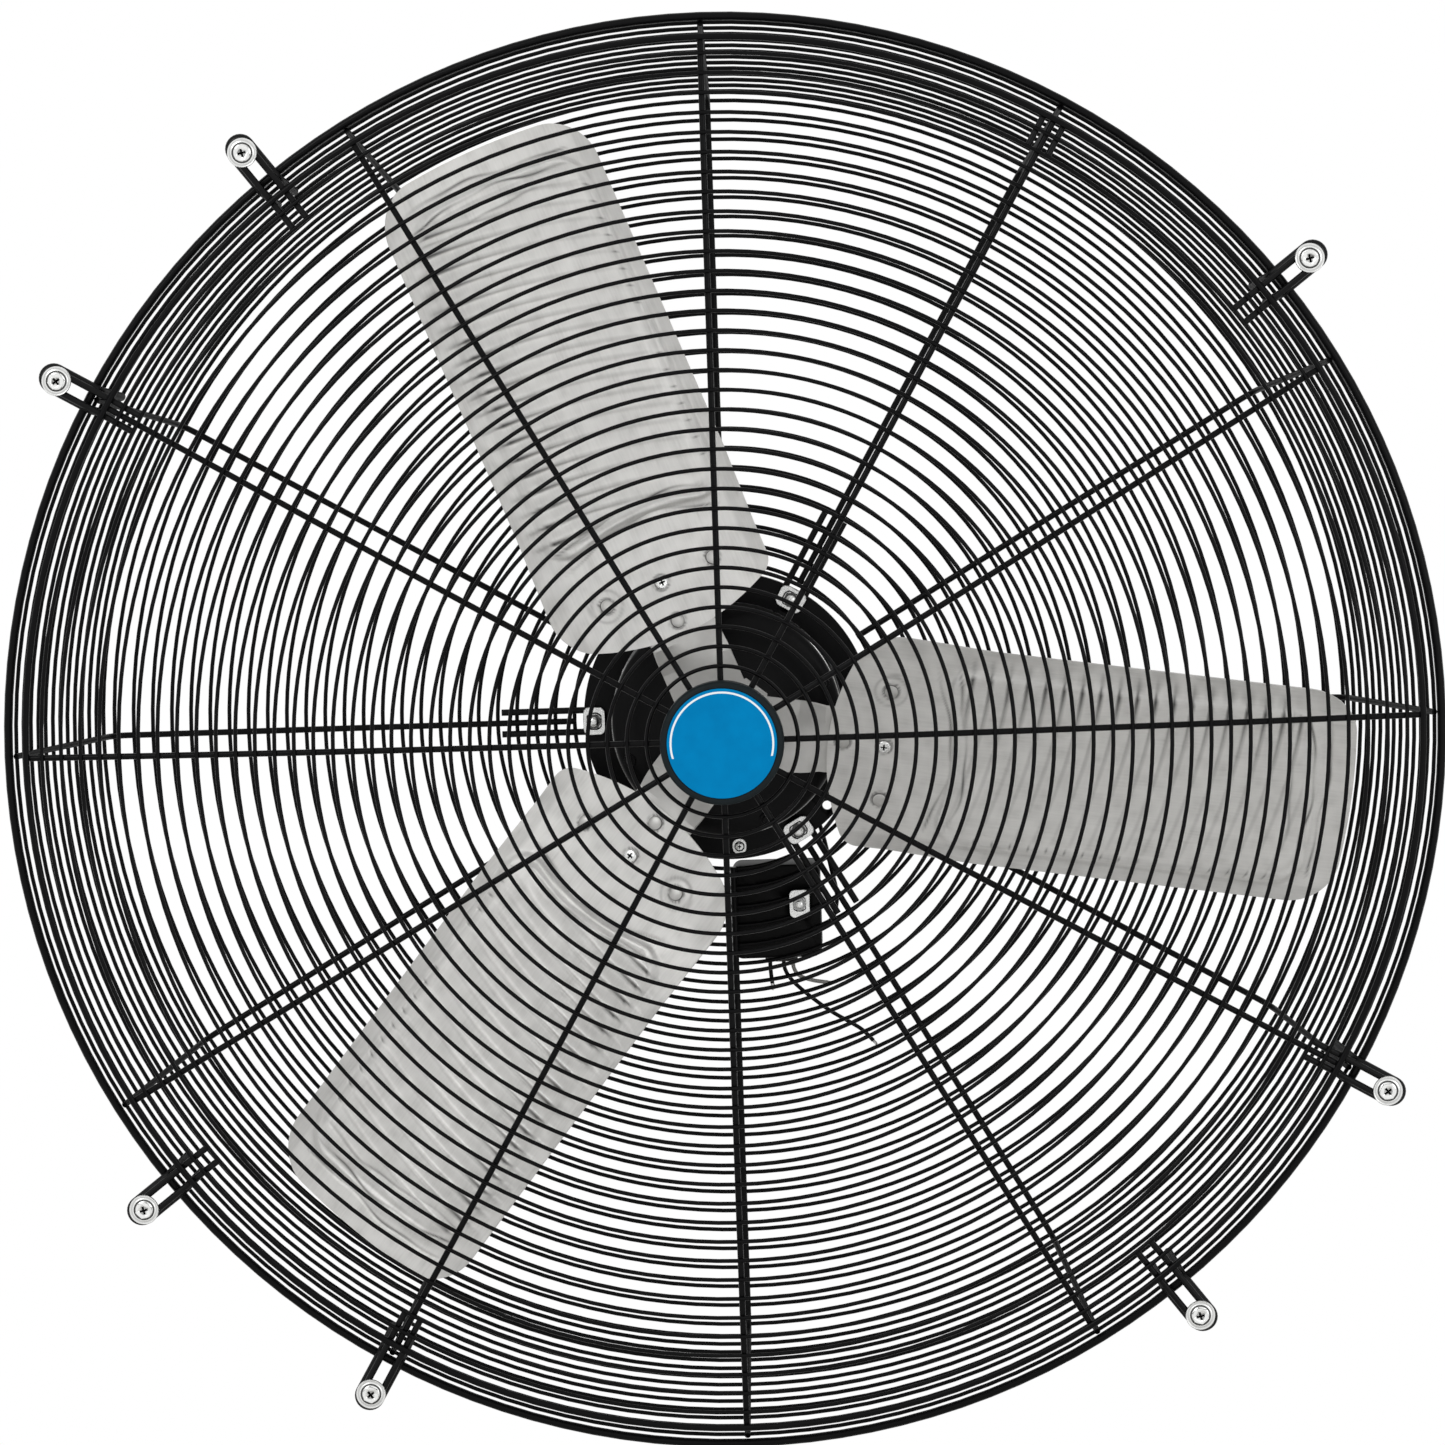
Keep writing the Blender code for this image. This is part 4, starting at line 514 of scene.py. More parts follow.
def bevelled(piece, width, segments=2, sharp=40):
    """Round the sharp edges of a piece."""
    bevel = piece.modifiers.new("edges", "BEVEL")
    bevel.width = width
    bevel.segments = segments
    bevel.angle_limit = math.radians(30)
    settle(piece)
    piece.data.shade_smooth()
    piece.data.set_sharp_from_angle(angle=math.radians(sharp))
    return piece


def cut_away(piece, cutter):
    """Take the shape of another object out of a piece, and remove that object."""
    boolean = piece.modifiers.new("cut", "BOOLEAN")
    boolean.operation = "DIFFERENCE"
    boolean.solver = "EXACT"
    boolean.object = cutter
    settle(piece)
    bpy.data.objects.remove(cutter)
    return piece


def bridge(bm, here, there):
    """Faces all the way round between two closed rows of as many points."""
    for i in range(len(here)):
        j = (i + 1) % len(here)
        bm.faces.new((here[i], here[j], there[j], there[i]))


def lathe(profile, sides=96):
    """A solid turned about Y from (radius, y) points; points on the axis close the ends."""
    bm = bmesh.new()
    rows = [[bm.verts.new((0, y, 0))] if radius == 0 else
            [bm.verts.new(polar(radius, math.tau * i / sides, y)) for i in range(sides)]
            for radius, y in profile]
    pairs = list(zip(rows, rows[1:]))
    if profile[0][0] != 0:
        pairs.append((rows[-1], rows[0]))
    for here, there in pairs:
        if len(here) == 1:
            for i in range(sides):
                bm.faces.new((here[0], there[(i + 1) % sides], there[i]))
        elif len(there) == 1:
            for i in range(sides):
                bm.faces.new((here[i], here[(i + 1) % sides], there[0]))
        else:
            bridge(bm, here, there)
    return bm


def filleted(points, radius, steps=4):
    """A path with its inner corners rounded, as far as the stretches beside them allow."""
    points = [Vector(p) for p in points]
    made = [points[0]]
    for before, corner, after in zip(points, points[1:], points[2:]):
        run = min(radius, (corner - before).length * 0.45, (after - corner).length * 0.45)
        start = corner + (before - corner).normalized() * run
        end = corner + (after - corner).normalized() * run
        for i in range(steps + 1):
            t = i / steps
            made.append(start * (1 - t) ** 2 + corner * 2 * t * (1 - t) + end * t ** 2)
    made.append(points[-1])
    return made


def wire_curve(name, paths, diameter, half_sides):
    """Round wires along paths as curve data, whose section has twice half_sides sides."""
    curve = bpy.data.curves.new(name, "CURVE")
    curve.dimensions = "3D"
    curve.bevel_depth = diameter / 2
    curve.bevel_resolution = half_sides - 2
    curve.use_fill_caps = True
    for path in paths:
        spline = curve.splines.new("POLY")
        spline.points.add(len(path) - 1)
        for target, point in zip(spline.points, path):
            target.co = (*point, 1)
    return curve


def wire(name, paths, diameter, material, half_sides=5):
    """Round wires along paths as one mesh with closed ends."""
    holder = add_object("path", wire_curve(name, paths, diameter, half_sides))
    graph = bpy.context.evaluated_depsgraph_get()
    mesh = bpy.data.meshes.new_from_object(holder.evaluated_get(graph))
    bm = bmesh.new()
    bm.from_mesh(mesh)
    bpy.data.objects.remove(holder)
    return new_piece(name, bm, material)


def prism(outline, low, high):
    """A straight solid along Y over an outline of (x, z) points."""
    bm = bmesh.new()
    near = [bm.verts.new((x, low, z)) for x, z in outline]
    far = [bm.verts.new((x, high, z)) for x, z in outline]
    bm.faces.new(near)
    bm.faces.new(far)
    bridge(bm, near, far)
    return bm


def rounded_rectangle(width, height, corner, steps=6):
    """The outline of a rectangle with round corners, about the origin."""
    places = []
    for quarter in range(4):
        for i in range(steps + 1):
            angle = math.pi / 2 * (quarter + i / steps)
            x = width / 2 - corner if quarter in (0, 3) else corner - width / 2
            z = height / 2 - corner if quarter in (0, 1) else corner - height / 2
            places.append((x + corner * math.cos(angle), z + corner * math.sin(angle)))
    return places


def join(name, pieces):
    """Several pieces as one mesh, each part keeping its own material."""
    bm = bmesh.new()
    materials = []
    for piece in pieces:
        start = len(bm.faces)
        bm.from_mesh(piece.data)
        bm.faces.ensure_lookup_table()
        own = piece.data.materials[0]
        if own not in materials:
            materials.append(own)
        for face in bm.faces[start:]:
            face.material_index = materials.index(own)
    mesh = bpy.data.meshes.new(name)
    bm.to_mesh(mesh)
    bm.free()
    for own in materials:
        mesh.materials.append(own)
    made = add_object(name, mesh)
    for piece in pieces:
        bpy.data.objects.remove(piece)
    return made


def move(piece, matrix):
    """Move a piece's mesh, so that its object stays at the origin."""
    piece.data.transform(matrix)
    return piece


# ---- node trees for what repeats

def open_tree(name, inputs):
    """A geometry tree with named inputs; gives the tree and its input sockets."""
    tree = bpy.data.node_groups.new(name, "GeometryNodeTree")
    tree.interface.new_socket("Geometry", in_out="OUTPUT", socket_type="NodeSocketGeometry")
    tree.interface.new_socket("Geometry", in_out="INPUT", socket_type="NodeSocketGeometry")
    for label, kind in inputs:
        tree.interface.new_socket(label, in_out="INPUT", socket_type="NodeSocket" + kind)
    return tree, add_node(tree, "NodeGroupInput").outputs


def close_tree(tree, geometry, material):
    """End a tree with real geometry in one material."""
    whole = add_node(tree, "GeometryNodeRealizeInstances", {"Geometry": geometry})
    painted = add_node(tree, "GeometryNodeSetMaterial", {"Geometry": whole.outputs[0], "Material": material})
    add_node(tree, "NodeGroupOutput", {0: painted.outputs[0]})
    return tree


def ring_set_tree():
    """Rings about Y at an even pitch, whose height follows a straight slope and a square curve."""
    tree, given = open_tree("ring_set", (
        ("Count", "Int"), ("First Radius", "Float"), ("Pitch", "Float"), ("Start Y", "Float"),
        ("Step Y", "Float"), ("Curve", "Float"), ("Wire", "Float"), ("Segments", "Int"), ("Sides", "Int"),
        ("Material", "Material")))
    number = add_node(tree, "GeometryNodeInputIndex").outputs[0]
    radius = add_node(tree, "ShaderNodeMath", {0: number, 1: given["Pitch"], 2: given["First Radius"]},
                      operation="MULTIPLY_ADD").outputs[0]
    slope = add_node(tree, "ShaderNodeMath", {0: number, 1: given["Step Y"], 2: given["Start Y"]},
                     operation="MULTIPLY_ADD").outputs[0]
    square = add_node(tree, "ShaderNodeMath", {0: radius, 1: radius}, operation="MULTIPLY").outputs[0]
    height = add_node(tree, "ShaderNodeMath", {0: square, 1: given["Curve"], 2: slope},
                      operation="MULTIPLY_ADD").outputs[0]
    place = add_node(tree, "ShaderNodeCombineXYZ", {"Y": height}).outputs[0]
    points = add_node(tree, "GeometryNodePoints", {"Count": given["Count"], "Position": place})
    circle = add_node(tree, "GeometryNodeCurvePrimitiveCircle",
                      {"Resolution": given["Segments"], "Radius": 1.0})
    upright = add_node(tree, "GeometryNodeTransform",
                       {"Geometry": circle.outputs[0], "Rotation": (math.pi / 2, 0, 0)})
    size = add_node(tree, "ShaderNodeCombineXYZ", {0: radius, 1: radius, 2: radius}).outputs[0]
    rings = add_node(tree, "GeometryNodeInstanceOnPoints",
                     {"Points": points.outputs[0], "Instance": upright.outputs[0], "Scale": size})
    lines = add_node(tree, "GeometryNodeRealizeInstances", {"Geometry": rings.outputs[0]})
    half = add_node(tree, "ShaderNodeMath", {0: given["Wire"], 1: 0.5}, operation="MULTIPLY").outputs[0]
    section = add_node(tree, "GeometryNodeCurvePrimitiveCircle",
                       {"Resolution": given["Sides"], "Radius": half})
    solid = add_node(tree, "GeometryNodeCurveToMesh",
                     {"Curve": lines.outputs[0], "Profile Curve": section.outputs[0], "Scale": 1.0})
    smooth = add_node(tree, "GeometryNodeSetShadeSmooth", {"Geometry": solid.outputs[0]})
    return close_tree(tree, smooth.outputs[0], given["Material"])


def round_copies_tree():
    """Copies of a shape about Y: a group of them at an even step, then the same group turned further."""
    tree, given = open_tree("round_copies", (
        ("Count", "Int"), ("First Angle", "Float"), ("Step", "Float"), ("Group Size", "Int"),
        ("Group Turn", "Float"), ("Material", "Material")))
    number = add_node(tree, "GeometryNodeInputIndex").outputs[0]
    within = add_node(tree, "ShaderNodeMath", {0: number, 1: given["Group Size"]}, operation="MODULO")
    ratio = add_node(tree, "ShaderNodeMath", {0: number, 1: given["Group Size"]}, operation="DIVIDE")
    group = add_node(tree, "ShaderNodeMath", {0: ratio.outputs[0]}, operation="FLOOR")
    start = add_node(tree, "ShaderNodeMath", {0: group.outputs[0], 1: given["Group Turn"],
                                              2: given["First Angle"]}, operation="MULTIPLY_ADD")
    angle = add_node(tree, "ShaderNodeMath", {0: within.outputs[0], 1: given["Step"], 2: start.outputs[0]},
                     operation="MULTIPLY_ADD")
    turn = add_node(tree, "FunctionNodeAxisAngleToRotation", {"Axis": (0, -1, 0), "Angle": angle.outputs[0]})
    points = add_node(tree, "GeometryNodePoints", {"Count": given["Count"]})
    copies = add_node(tree, "GeometryNodeInstanceOnPoints", {
        "Points": points.outputs[0], "Instance": given["Geometry"], "Rotation": turn.outputs[0]})
    return close_tree(tree, copies.outputs[0], given["Material"])


def grow(piece, tree, values):
    """Run a geometry tree on a piece with values for its named inputs, and keep the plain mesh."""
    modifier = piece.modifiers.new(tree.name, "NODES")
    modifier.node_group = tree
    for item in tree.interface.items_tree:
        if item.in_out == "INPUT" and item.name in values:
            modifier[item.identifier] = values[item.name]
    return settle(piece)


def ring_set(name, material, count, first, pitch, start_y, step_y=0.0, curve=0.0, wire_size=RING_WIRE):
    """Rings of one wire size as a new piece."""
    piece = new_piece(name, bmesh.new(), material)
    return grow(piece, RING_TREE, {
        "Count": count, "First Radius": first, "Pitch": pitch, "Start Y": start_y, "Step Y": step_y,
        "Curve": curve, "Wire": wire_size, "Segments": RING_SEGMENTS, "Sides": RING_SIDES,
        "Material": material})


def round_copies(piece, count, first=0.0, step=None, group=None, group_turn=0.0):
    """Copy a piece round the fan's axis."""
    return grow(piece, COPY_TREE, {
        "Count": count, "First Angle": first, "Step": step or math.tau / count,
        "Group Size": group or count, "Group Turn": group_turn, "Material": piece.data.materials[0]})


def at_loops(piece):
    """Copy a piece to the seven mounting loops."""
    return round_copies(piece, LOOP_COUNT, LOOP_ANGLE, LOOP_STEP, LOOP_GROUP, LOOP_GROUP_TURN)


def at_lugs(piece):
    """Copy a piece to the motor's three lugs."""
    return round_copies(piece, LUG_COUNT, LUG_ANGLE)


def at_blades(piece):
    """Copy a piece that belongs to a blade standing along +X to the place of each blade."""
    return round_copies(piece, len(BLADE_ANGLES), BLADE_ANGLES[0])


# ---- leads

def smooth_route(points, spacing):
    """Evenly spaced points on the Catmull-Rom curve through a route's own points, and its length."""
    dense = []
    steps, slack = 24, 1e-9
    for i in range(len(points) - 1):
        a = Vector(points[max(i - 1, 0)])
        b, c = Vector(points[i]), Vector(points[i + 1])
        d = Vector(points[min(i + 2, len(points) - 1)])
        for k in range(steps):
            t = k / steps
            dense.append(0.5 * (2 * b + (c - a) * t + (2 * a - 5 * b + 4 * c - d) * t ** 2
                                + (3 * b - a - 3 * c + d) * t ** 3))
    dense.append(Vector(points[-1]))
    length = sum((q - p).length for p, q in zip(dense, dense[1:]))
    count = max(LEAST_STEPS, round(length / spacing))
    even, run, target = [dense[0]], 0.0, length / count
    for p, q in zip(dense, dense[1:]):
        step = (q - p).length
        while run + step >= target - slack and len(even) < count:
            even.append(p.lerp(q, (target - run) / step))
            target += length / count
        run += step
    even.append(dense[-1])
    return even, length


def frayed_end(name, points, spread, reach, material):
    """Fine strands that fan out of a lead's cut end, a golden angle apart."""
    strands, strand_wire, golden_share = 9, 0.0004, 0.382
    tip = points[-1]
    ahead = (points[-1] - points[-2]).normalized()
    side = ahead.cross(Vector((0, 1, 0))).normalized()
    other = ahead.cross(side)
    paths = []
    for i in range(strands):
        angle = math.tau * i * golden_share
        lean = spread * (0.35 + 0.65 * ((i * 7) % strands) / strands)
        out = side * math.cos(angle) + other * math.sin(angle)
        far = reach * (0.6 + 0.4 * ((i * 4) % strands) / strands)
        paths.append([tip - ahead * 0.002 + out * 0.0007,
                      tip + ahead * far * 0.4 + out * (0.0008 + lean * 0.5),
                      tip + ahead * far * 0.8 + out * (0.0006 + lean), tip + ahead * far + out * lean * 0.7])
    return wire(name, [filleted(path, 0.002, 3) for path in paths], strand_wire, material, 3)


def build_leads(finish):
    """Three bare supply leads that hang from the box, and the motor's own lead to the box."""
    # Name, CAD node, route, finish and slot, then how far its strands spread and reach
    leads = (
        ("supply_lead_short", "lead_short", SHORT_LEAD, "black_lead", "lead_black", 0.0022, 0.0055),
        ("supply_lead_long", "lead_long", LONG_LEAD, "black_lead", "lead_black", 0.0006, 0.0050),
        ("supply_lead_grey", "lead_grey", GREY_LEAD, "grey_lead", "lead_pale", 0.0010, 0.0050),
    )
    for name, node, route, look, slot, spread, reach in leads:
        points, length = smooth_route(route, LEAD_DIAMETER)
        strands = frayed_end(name + "_strands", points, spread, reach, finish["strand"])
        dress(strands, "frame", slot)
        if length < LEAST_CORD:
            dress(wire(name, [points], LEAD_DIAMETER, finish[look], 14), "frame", slot, node)
            continue
        lead = add_object(name, wire_curve(name, [points], LEAD_DIAMETER, 6))
        lead.data.materials.append(finish[look])
        dress(lead, "frame", slot, node)
    points, _ = smooth_route(MOTOR_LEAD, LEAD_DIAMETER)
    paths = [[p + Vector((0, shift * LEAD_DIAMETER, 0)) for p in points] for shift in (-1, 0, 1)]
    bundle = wire("motor_lead_bundle", paths, LEAD_DIAMETER, finish["black_lead"], 6)
    dress(bundle, "frame", "lead_black", "motor_lead")


# ---- guards

def hairpin_path(half, centre, leg, end_y=None, steps=14):
    """A hairpin along +X: in along one leg of (radius, y) points, round a bend, and back."""
    end_y = leg[-1][1] if end_y is None else end_y
    out = [(radius, y, half) for radius, y in leg]
    bend = [(centre + half * math.sin(math.pi * i / steps), end_y, half * math.cos(math.pi * i / steps))
            for i in range(steps + 1)]
    return out + bend + [(radius, y, -half) for radius, y in reversed(leg)]


def build_front_guard(finish):
    """The domed front guard: its rings, spokes, hoop and the hairpins welded to its rim."""
    coat = finish["coat"]
    curve = FRONT_DOME / FRONT_HOOP_RADIUS ** 2
    base = FRONT_HOOP_Y - FRONT_DOME
    rings = ring_set("front_guard_rings", coat, FRONT_RING_COUNT, FRONT_FIRST_RADIUS, FRONT_RING_PITCH, base,
                     curve=curve)
    hub = ring_set("front_hub_ring", coat, 1, HUB_RING_RADIUS, 0.0, base, curve=curve)
    hoop = ring_set("front_hoop", coat, 1, FRONT_HOOP_RADIUS, 0.0, FRONT_HOOP_Y, wire_size=FRONT_HOOP_WIRE)
    dress(join("front_guard_rings", [rings, hub, hoop]), "frame", "guard_wire", "front_guard")

    inner, outer = HUB_RING_RADIUS - 0.001, FRONT_HOOP_RADIUS - 0.002
    steps = 24
    depth = RING_WIRE / 2 + SPOKE_WIRE / 2 - WELD_SINK
    path = []
    for i in range(steps + 1):
        radius = inner + (outer - inner) * i / steps
        path.append((radius, dome_y(radius) + depth, 0))
    spoke = wire("front_guard_spokes", [path], SPOKE_WIRE, coat, 6)
    dress(round_copies(spoke, SPOKE_COUNT), "frame", "guard_wire", "front_guard")

    leg_in, hoop_half = FRONT_HOOP_RADIUS - 0.026, FRONT_HOOP_WIRE / 2
    leg_y = dome_y(leg_in) + RING_WIRE / 2 + FRONT_LOOP_WIRE / 2 - WELD_SINK
    path = hairpin_path(FRONT_LOOP_HALF, LOOP_CENTRE,
                        [(leg_in, leg_y), (FRONT_HOOP_RADIUS - hoop_half, FRONT_LOOP_Y)])
    loops = at_loops(wire("front_rim_loops", [path], FRONT_LOOP_WIRE, finish["loop_coat"], 7))
    dress(loops, "frame", "guard_wire", "front_guard")
    # One more hairpin at the rim carries no screw and ends at the hoop
    legs = [[(leg_in, leg_y, side), (FRONT_HOOP_RADIUS + hoop_half, FRONT_LOOP_Y, side)]
            for side in (RIM_HAIRPIN_HALF, -RIM_HAIRPIN_HALF)]
    rim_pin = wire("front_rim_hairpin", legs, FRONT_LOOP_WIRE, finish["loop_coat"], 7)
    dress(move(rim_pin, turn_about_axis(RIM_HAIRPIN_ANGLE)), "frame", "guard_wire", "front_guard")


def build_rear_guard(finish):
    """The wire basket: its back and side rings, spokes, hoop and mounting loops."""
    coat = finish["coat"]
    back = ring_set("back_rings", coat, REAR_RING_COUNT, REAR_FIRST_RADIUS, REAR_RING_PITCH, REAR_DISC_Y)
    side = ring_set("side_rings", coat, SIDE_RING_COUNT, REAR_BEND_RADIUS + SIDE_RING_PITCH * SLOPE_OUT,
                    SIDE_RING_PITCH * SLOPE_OUT, REAR_DISC_Y - SIDE_RING_PITCH * SLOPE_FORWARD,
                    -SIDE_RING_PITCH * SLOPE_FORWARD)
    hoop = ring_set("rear_hoop", coat, 1, REAR_HOOP_RADIUS, 0.0, REAR_HOOP_Y, wire_size=REAR_HOOP_WIRE)
    dress(join("rear_guard_rings", [back, side, hoop]), "frame", "guard_wire", "rear_guard")

    depth = RING_WIRE / 2 + SPOKE_WIRE / 2 - WELD_SINK
    inward = Vector((-SLOPE_FORWARD, -SLOPE_OUT, 0)) * depth
    mitre = (1 - SLOPE_OUT) / SLOPE_FORWARD * depth
    path = [(REAR_FIRST_RADIUS - 0.0015, REAR_DISC_Y - depth, 0),
            (REAR_BEND_RADIUS - mitre, REAR_DISC_Y - depth, 0),
            tuple(Vector((REAR_HOOP_RADIUS - 0.002, REAR_HOOP_Y + 0.003, 0)) + inward)]
    spoke = wire("rear_guard_spokes", [filleted(path, 0.012, 6)], SPOKE_WIRE, coat, 6)
    dress(round_copies(spoke, SPOKE_COUNT), "frame", "guard_wire", "rear_guard")

    # A loop runs up inside the basket's side, over the hoop and out to its screw
    drop = 0.035
    reach = RING_WIRE / 2 + REAR_LOOP_WIRE / 2 + CLEARANCE
    over = REAR_HOOP_WIRE / 2 + REAR_LOOP_WIRE / 2
    foot = (REAR_HOOP_RADIUS - drop * SLOPE_OUT - reach * SLOPE_FORWARD,
            REAR_HOOP_Y + drop * SLOPE_FORWARD - reach * SLOPE_OUT)
    leg = [foot]
    full = math.acos(SLOPE_OUT)
    for share in (1.0, 0.8, 0.6, 0.4, 0.2, 0.0):
        angle = full * share
        leg.append((REAR_HOOP_RADIUS - over * math.sin(angle), REAR_HOOP_Y - over * math.cos(angle)))
    loop = wire("mounting_loops", [hairpin_path(REAR_LOOP_HALF, LOOP_CENTRE, leg, REAR_LOOP_Y)],
                REAR_LOOP_WIRE, finish["loop_coat"], 8)
    dress(at_loops(loop), "frame", "loop_wire", *numbered("mount_loop", LOOP_COUNT))


# ---- fasteners

def slot_cutter(width, reach, depth, top_y, turn):
    """The shape of one slot of a cross recess, sunk from a face at top_y towards +Y."""
    bm = bmesh.new()
    corners = []
    for y, half_long, half_wide in ((top_y - depth, reach * 1.15, width * 0.62),
                                    (top_y + depth, reach * 0.85, width * 0.46)):
        for sx, sz in ((1, 1), (-1, 1), (-1, -1), (1, -1)):
            x, z = sx * half_long, sz * half_wide
            corners.append(bm.verts.new((x * math.cos(turn) - z * math.sin(turn), y,
                                         x * math.sin(turn) + z * math.cos(turn))))
    bm.faces.new(corners[:4])
    bm.faces.new(corners[4:])
    bridge(bm, corners[:4], corners[4:])
    return bm


def pan_head(radius, height, seat_y):
    """Profile of a pan head that stands on a seat and looks towards -Y, from its crown to its rim."""
    crown = [(0, seat_y - height)]
    for share in (0.35, 0.62):
        crown.append((radius * share, seat_y - height * (1 - 0.16 * share ** 2)))
    for i in range(7):
        angle = math.pi / 2 * (1 - i / 6)
        crown.append((radius * (0.72 + 0.28 * math.cos(angle)),
                      seat_y - height * (0.42 + 0.48 * math.sin(angle))))
    crown.append((radius * 0.985, seat_y))
    return crown


def cross_screw(name, radius, height, seat_y, shank, tip_y, material, hexagon=False):
    """A pan or hexagon head screw with a cross recess, a plain neck and a threaded shank with a point."""
    pitch, depth, overlap = 0.0018, 0.0005, 0.001
    if hexagon:
        profile = [(0, seat_y - overlap), (shank, seat_y - overlap)]
    else:
        profile = pan_head(radius, height, seat_y) + [(shank, seat_y)]
    y = seat_y + 0.004
    while y < tip_y - 0.006:
        profile += [(shank - depth, y), (shank, y + pitch * 0.35), (shank - depth, y + pitch * 0.7)]
        y += pitch
    profile += [(shank * 0.75, tip_y - 0.004), (0, tip_y)]
    screw = new_piece(name, lathe(profile, 40), material, 35)
    head = screw
    if hexagon:
        head = new_piece("head", hex_nut(radius, seat_y - height, seat_y, 0.0005), material, 35)
    for turn in (0, math.pi / 2):
        slot = slot_cutter(radius * 0.24, radius * 0.50, height * 0.62, seat_y - height, turn)
        cut_away(head, new_piece("slot", slot, material))
    if hexagon:
        screw = join(name, [head, screw])
    floor_y, rim = seat_y - height * 0.75, radius * 0.97

    def shade_at(co):
        """Painted shade in the recess and under the head's rim."""
        reach = math.hypot(co.x, co.z)
        in_recess = reach < radius * 0.7 and co.y > floor_y
        under_rim = reach > rim and co.y > seat_y - 1e-5
        return 1.0 if in_recess or under_rim else 0.0
    return paint_shade(screw, shade_at)


def hex_nut(radius, low, high, chamfer=0.0006):
    """The shape of a hexagon nut with its corners turned off at both faces."""
    bm = bmesh.new()
    sides = 36
    rows = []
    for y, inset in ((low, chamfer), (low + chamfer * 0.6, 0), (high - chamfer * 0.6, 0), (high, chamfer)):
        row = []
        for i in range(sides):
            angle = math.tau * i / sides
            flat = (angle % (math.pi / 3)) - math.pi / 6
            reach = radius * math.cos(math.pi / 6) / math.cos(flat)
            row.append(bm.verts.new(polar(min(reach, radius - inset), angle, y)))
        rows.append(row)
    for here, there in zip(rows, rows[1:]):
        bridge(bm, here, there)
    bm.faces.new(rows[0])
    bm.faces.new(rows[-1])
    return bm


def build_wall_fasteners(finish):
    """The wall screws with their ridged washers, one of each at every mounting loop."""
    zinc = finish["zinc"]
    hole, ridge = 0.0034, 0.0003
    back, front = WASHER_BACK_Y, WASHER_FRONT_Y
    head_turn = math.radians(24)
    profile = [
        (hole, back), (WASHER_RADIUS - 0.0006, back), (WASHER_RADIUS, back - 0.0006),
        (WASHER_RADIUS, front + 0.0006), (WASHER_RADIUS - 0.0005, front), (0.0092, front + ridge),
        (0.0086, front + ridge), (0.0081, front - ridge / 2), (0.0076, front - ridge / 2),
        (0.0071, front + ridge * 1.5), (0.0064, front + ridge * 1.5), (0.0060, front), (hole, front),
    ]

    def shade_at(co):
        """Painted shade in the groove beside the head, and fainter painted shade in the outer one."""
        if co.y < front + ridge * 0.9 or co.y > back - 0.0008:
            return 0.0
        return 0.9 if math.hypot(co.x, co.z) < 0.0075 else 0.3
    there = Matrix.Translation((SCREW_CIRCLE, 0, 0))
    washer = move(paint_shade(new_piece("wall_washers", lathe(profile, 56), zinc, 50), shade_at), there)
    dress(at_loops(washer), "frame", "zinc_fastener", *numbered("wall_washer", LOOP_COUNT))
    screw = cross_screw("wall_screws", radius=0.0062, height=0.0042, seat_y=SCREW_SEAT_Y, shank=SCREW_RADIUS,
                        tip_y=SCREW_TIP_Y, material=zinc, hexagon=True)
    move(screw, there @ Matrix.Rotation(head_turn, 4, "Y"))
    dress(at_loops(screw), "frame", "zinc_fastener", *numbered("wall_screw", LOOP_COUNT))


def clamp_plate(name, width, height, corner, front, back, hole, groove, material):
    """A pressed clamp plate with round corners, one hole and a groove round its nut with painted shade in its
    floor, facing -Y.
    """
    outline = [Vector((x, 0, z)) for x, z in rounded_rectangle(width, height, corner)]
    edge, face = 0.0005, 0.96
    groove_in, groove_out = groove
    floor_y = front + 0.0004
    # Rings of points from the hole to the rim: a radius, or a share of the outline, and a height
    rings = [(hole, 0, back), (hole, 0, front), (groove_in, 0, front), (groove_in, 0, floor_y),
             (groove_out, 0, floor_y), (groove_out, 0, front), (0, face, front), (0, 1, front + edge),
             (0, 1, back - edge), (0, face, back)]
    bm = bmesh.new()
    rows = [[bm.verts.new(Vector((0, y, 0)) + (p * share if share else p.normalized() * radius))
             for p in outline] for radius, share, y in rings]
    for here, there in zip(rows, rows[1:] + rows[:1]):
        bridge(bm, here, there)
    plate = new_piece(name, bm, material)
    # Painted shade in the groove's floor
    return paint_shade(plate, lambda co: 1.0 if abs(co.y - floor_y) < 1e-6 else 0.0)


def stud(radius, low, high):
    """The shape of a threaded stud with a turned tip at its low end."""
    pitch, depth = 0.0009, 0.0003
    profile = [(0, low), (radius - 0.0007, low), (radius - depth, low + 0.0005)]
    y = low + 0.0006
    while y < high - pitch:
        profile += [(radius, y + pitch * 0.5), (radius - depth, y + pitch)]
        y += pitch
    return lathe(profile + [(radius, high), (0, high)], 28)


def bolt_crown(radius, base_y, rise, seat_y, material):
    """The domed end of a bolt that fills its nut, with painted shade where it meets the nut."""
    angles = [math.radians(a) for a in (30, 55, 78, 90)]
    profile = [(0, base_y - rise)] + [(radius * math.sin(a), base_y - rise * math.cos(a)) for a in angles]
    crown = new_piece("crown", lathe(profile + [(radius, seat_y), (0, seat_y)], 32), material)
    return paint_shade(crown, lambda co: 1.0 if co.y > seat_y - 0.0001 else 0.0)


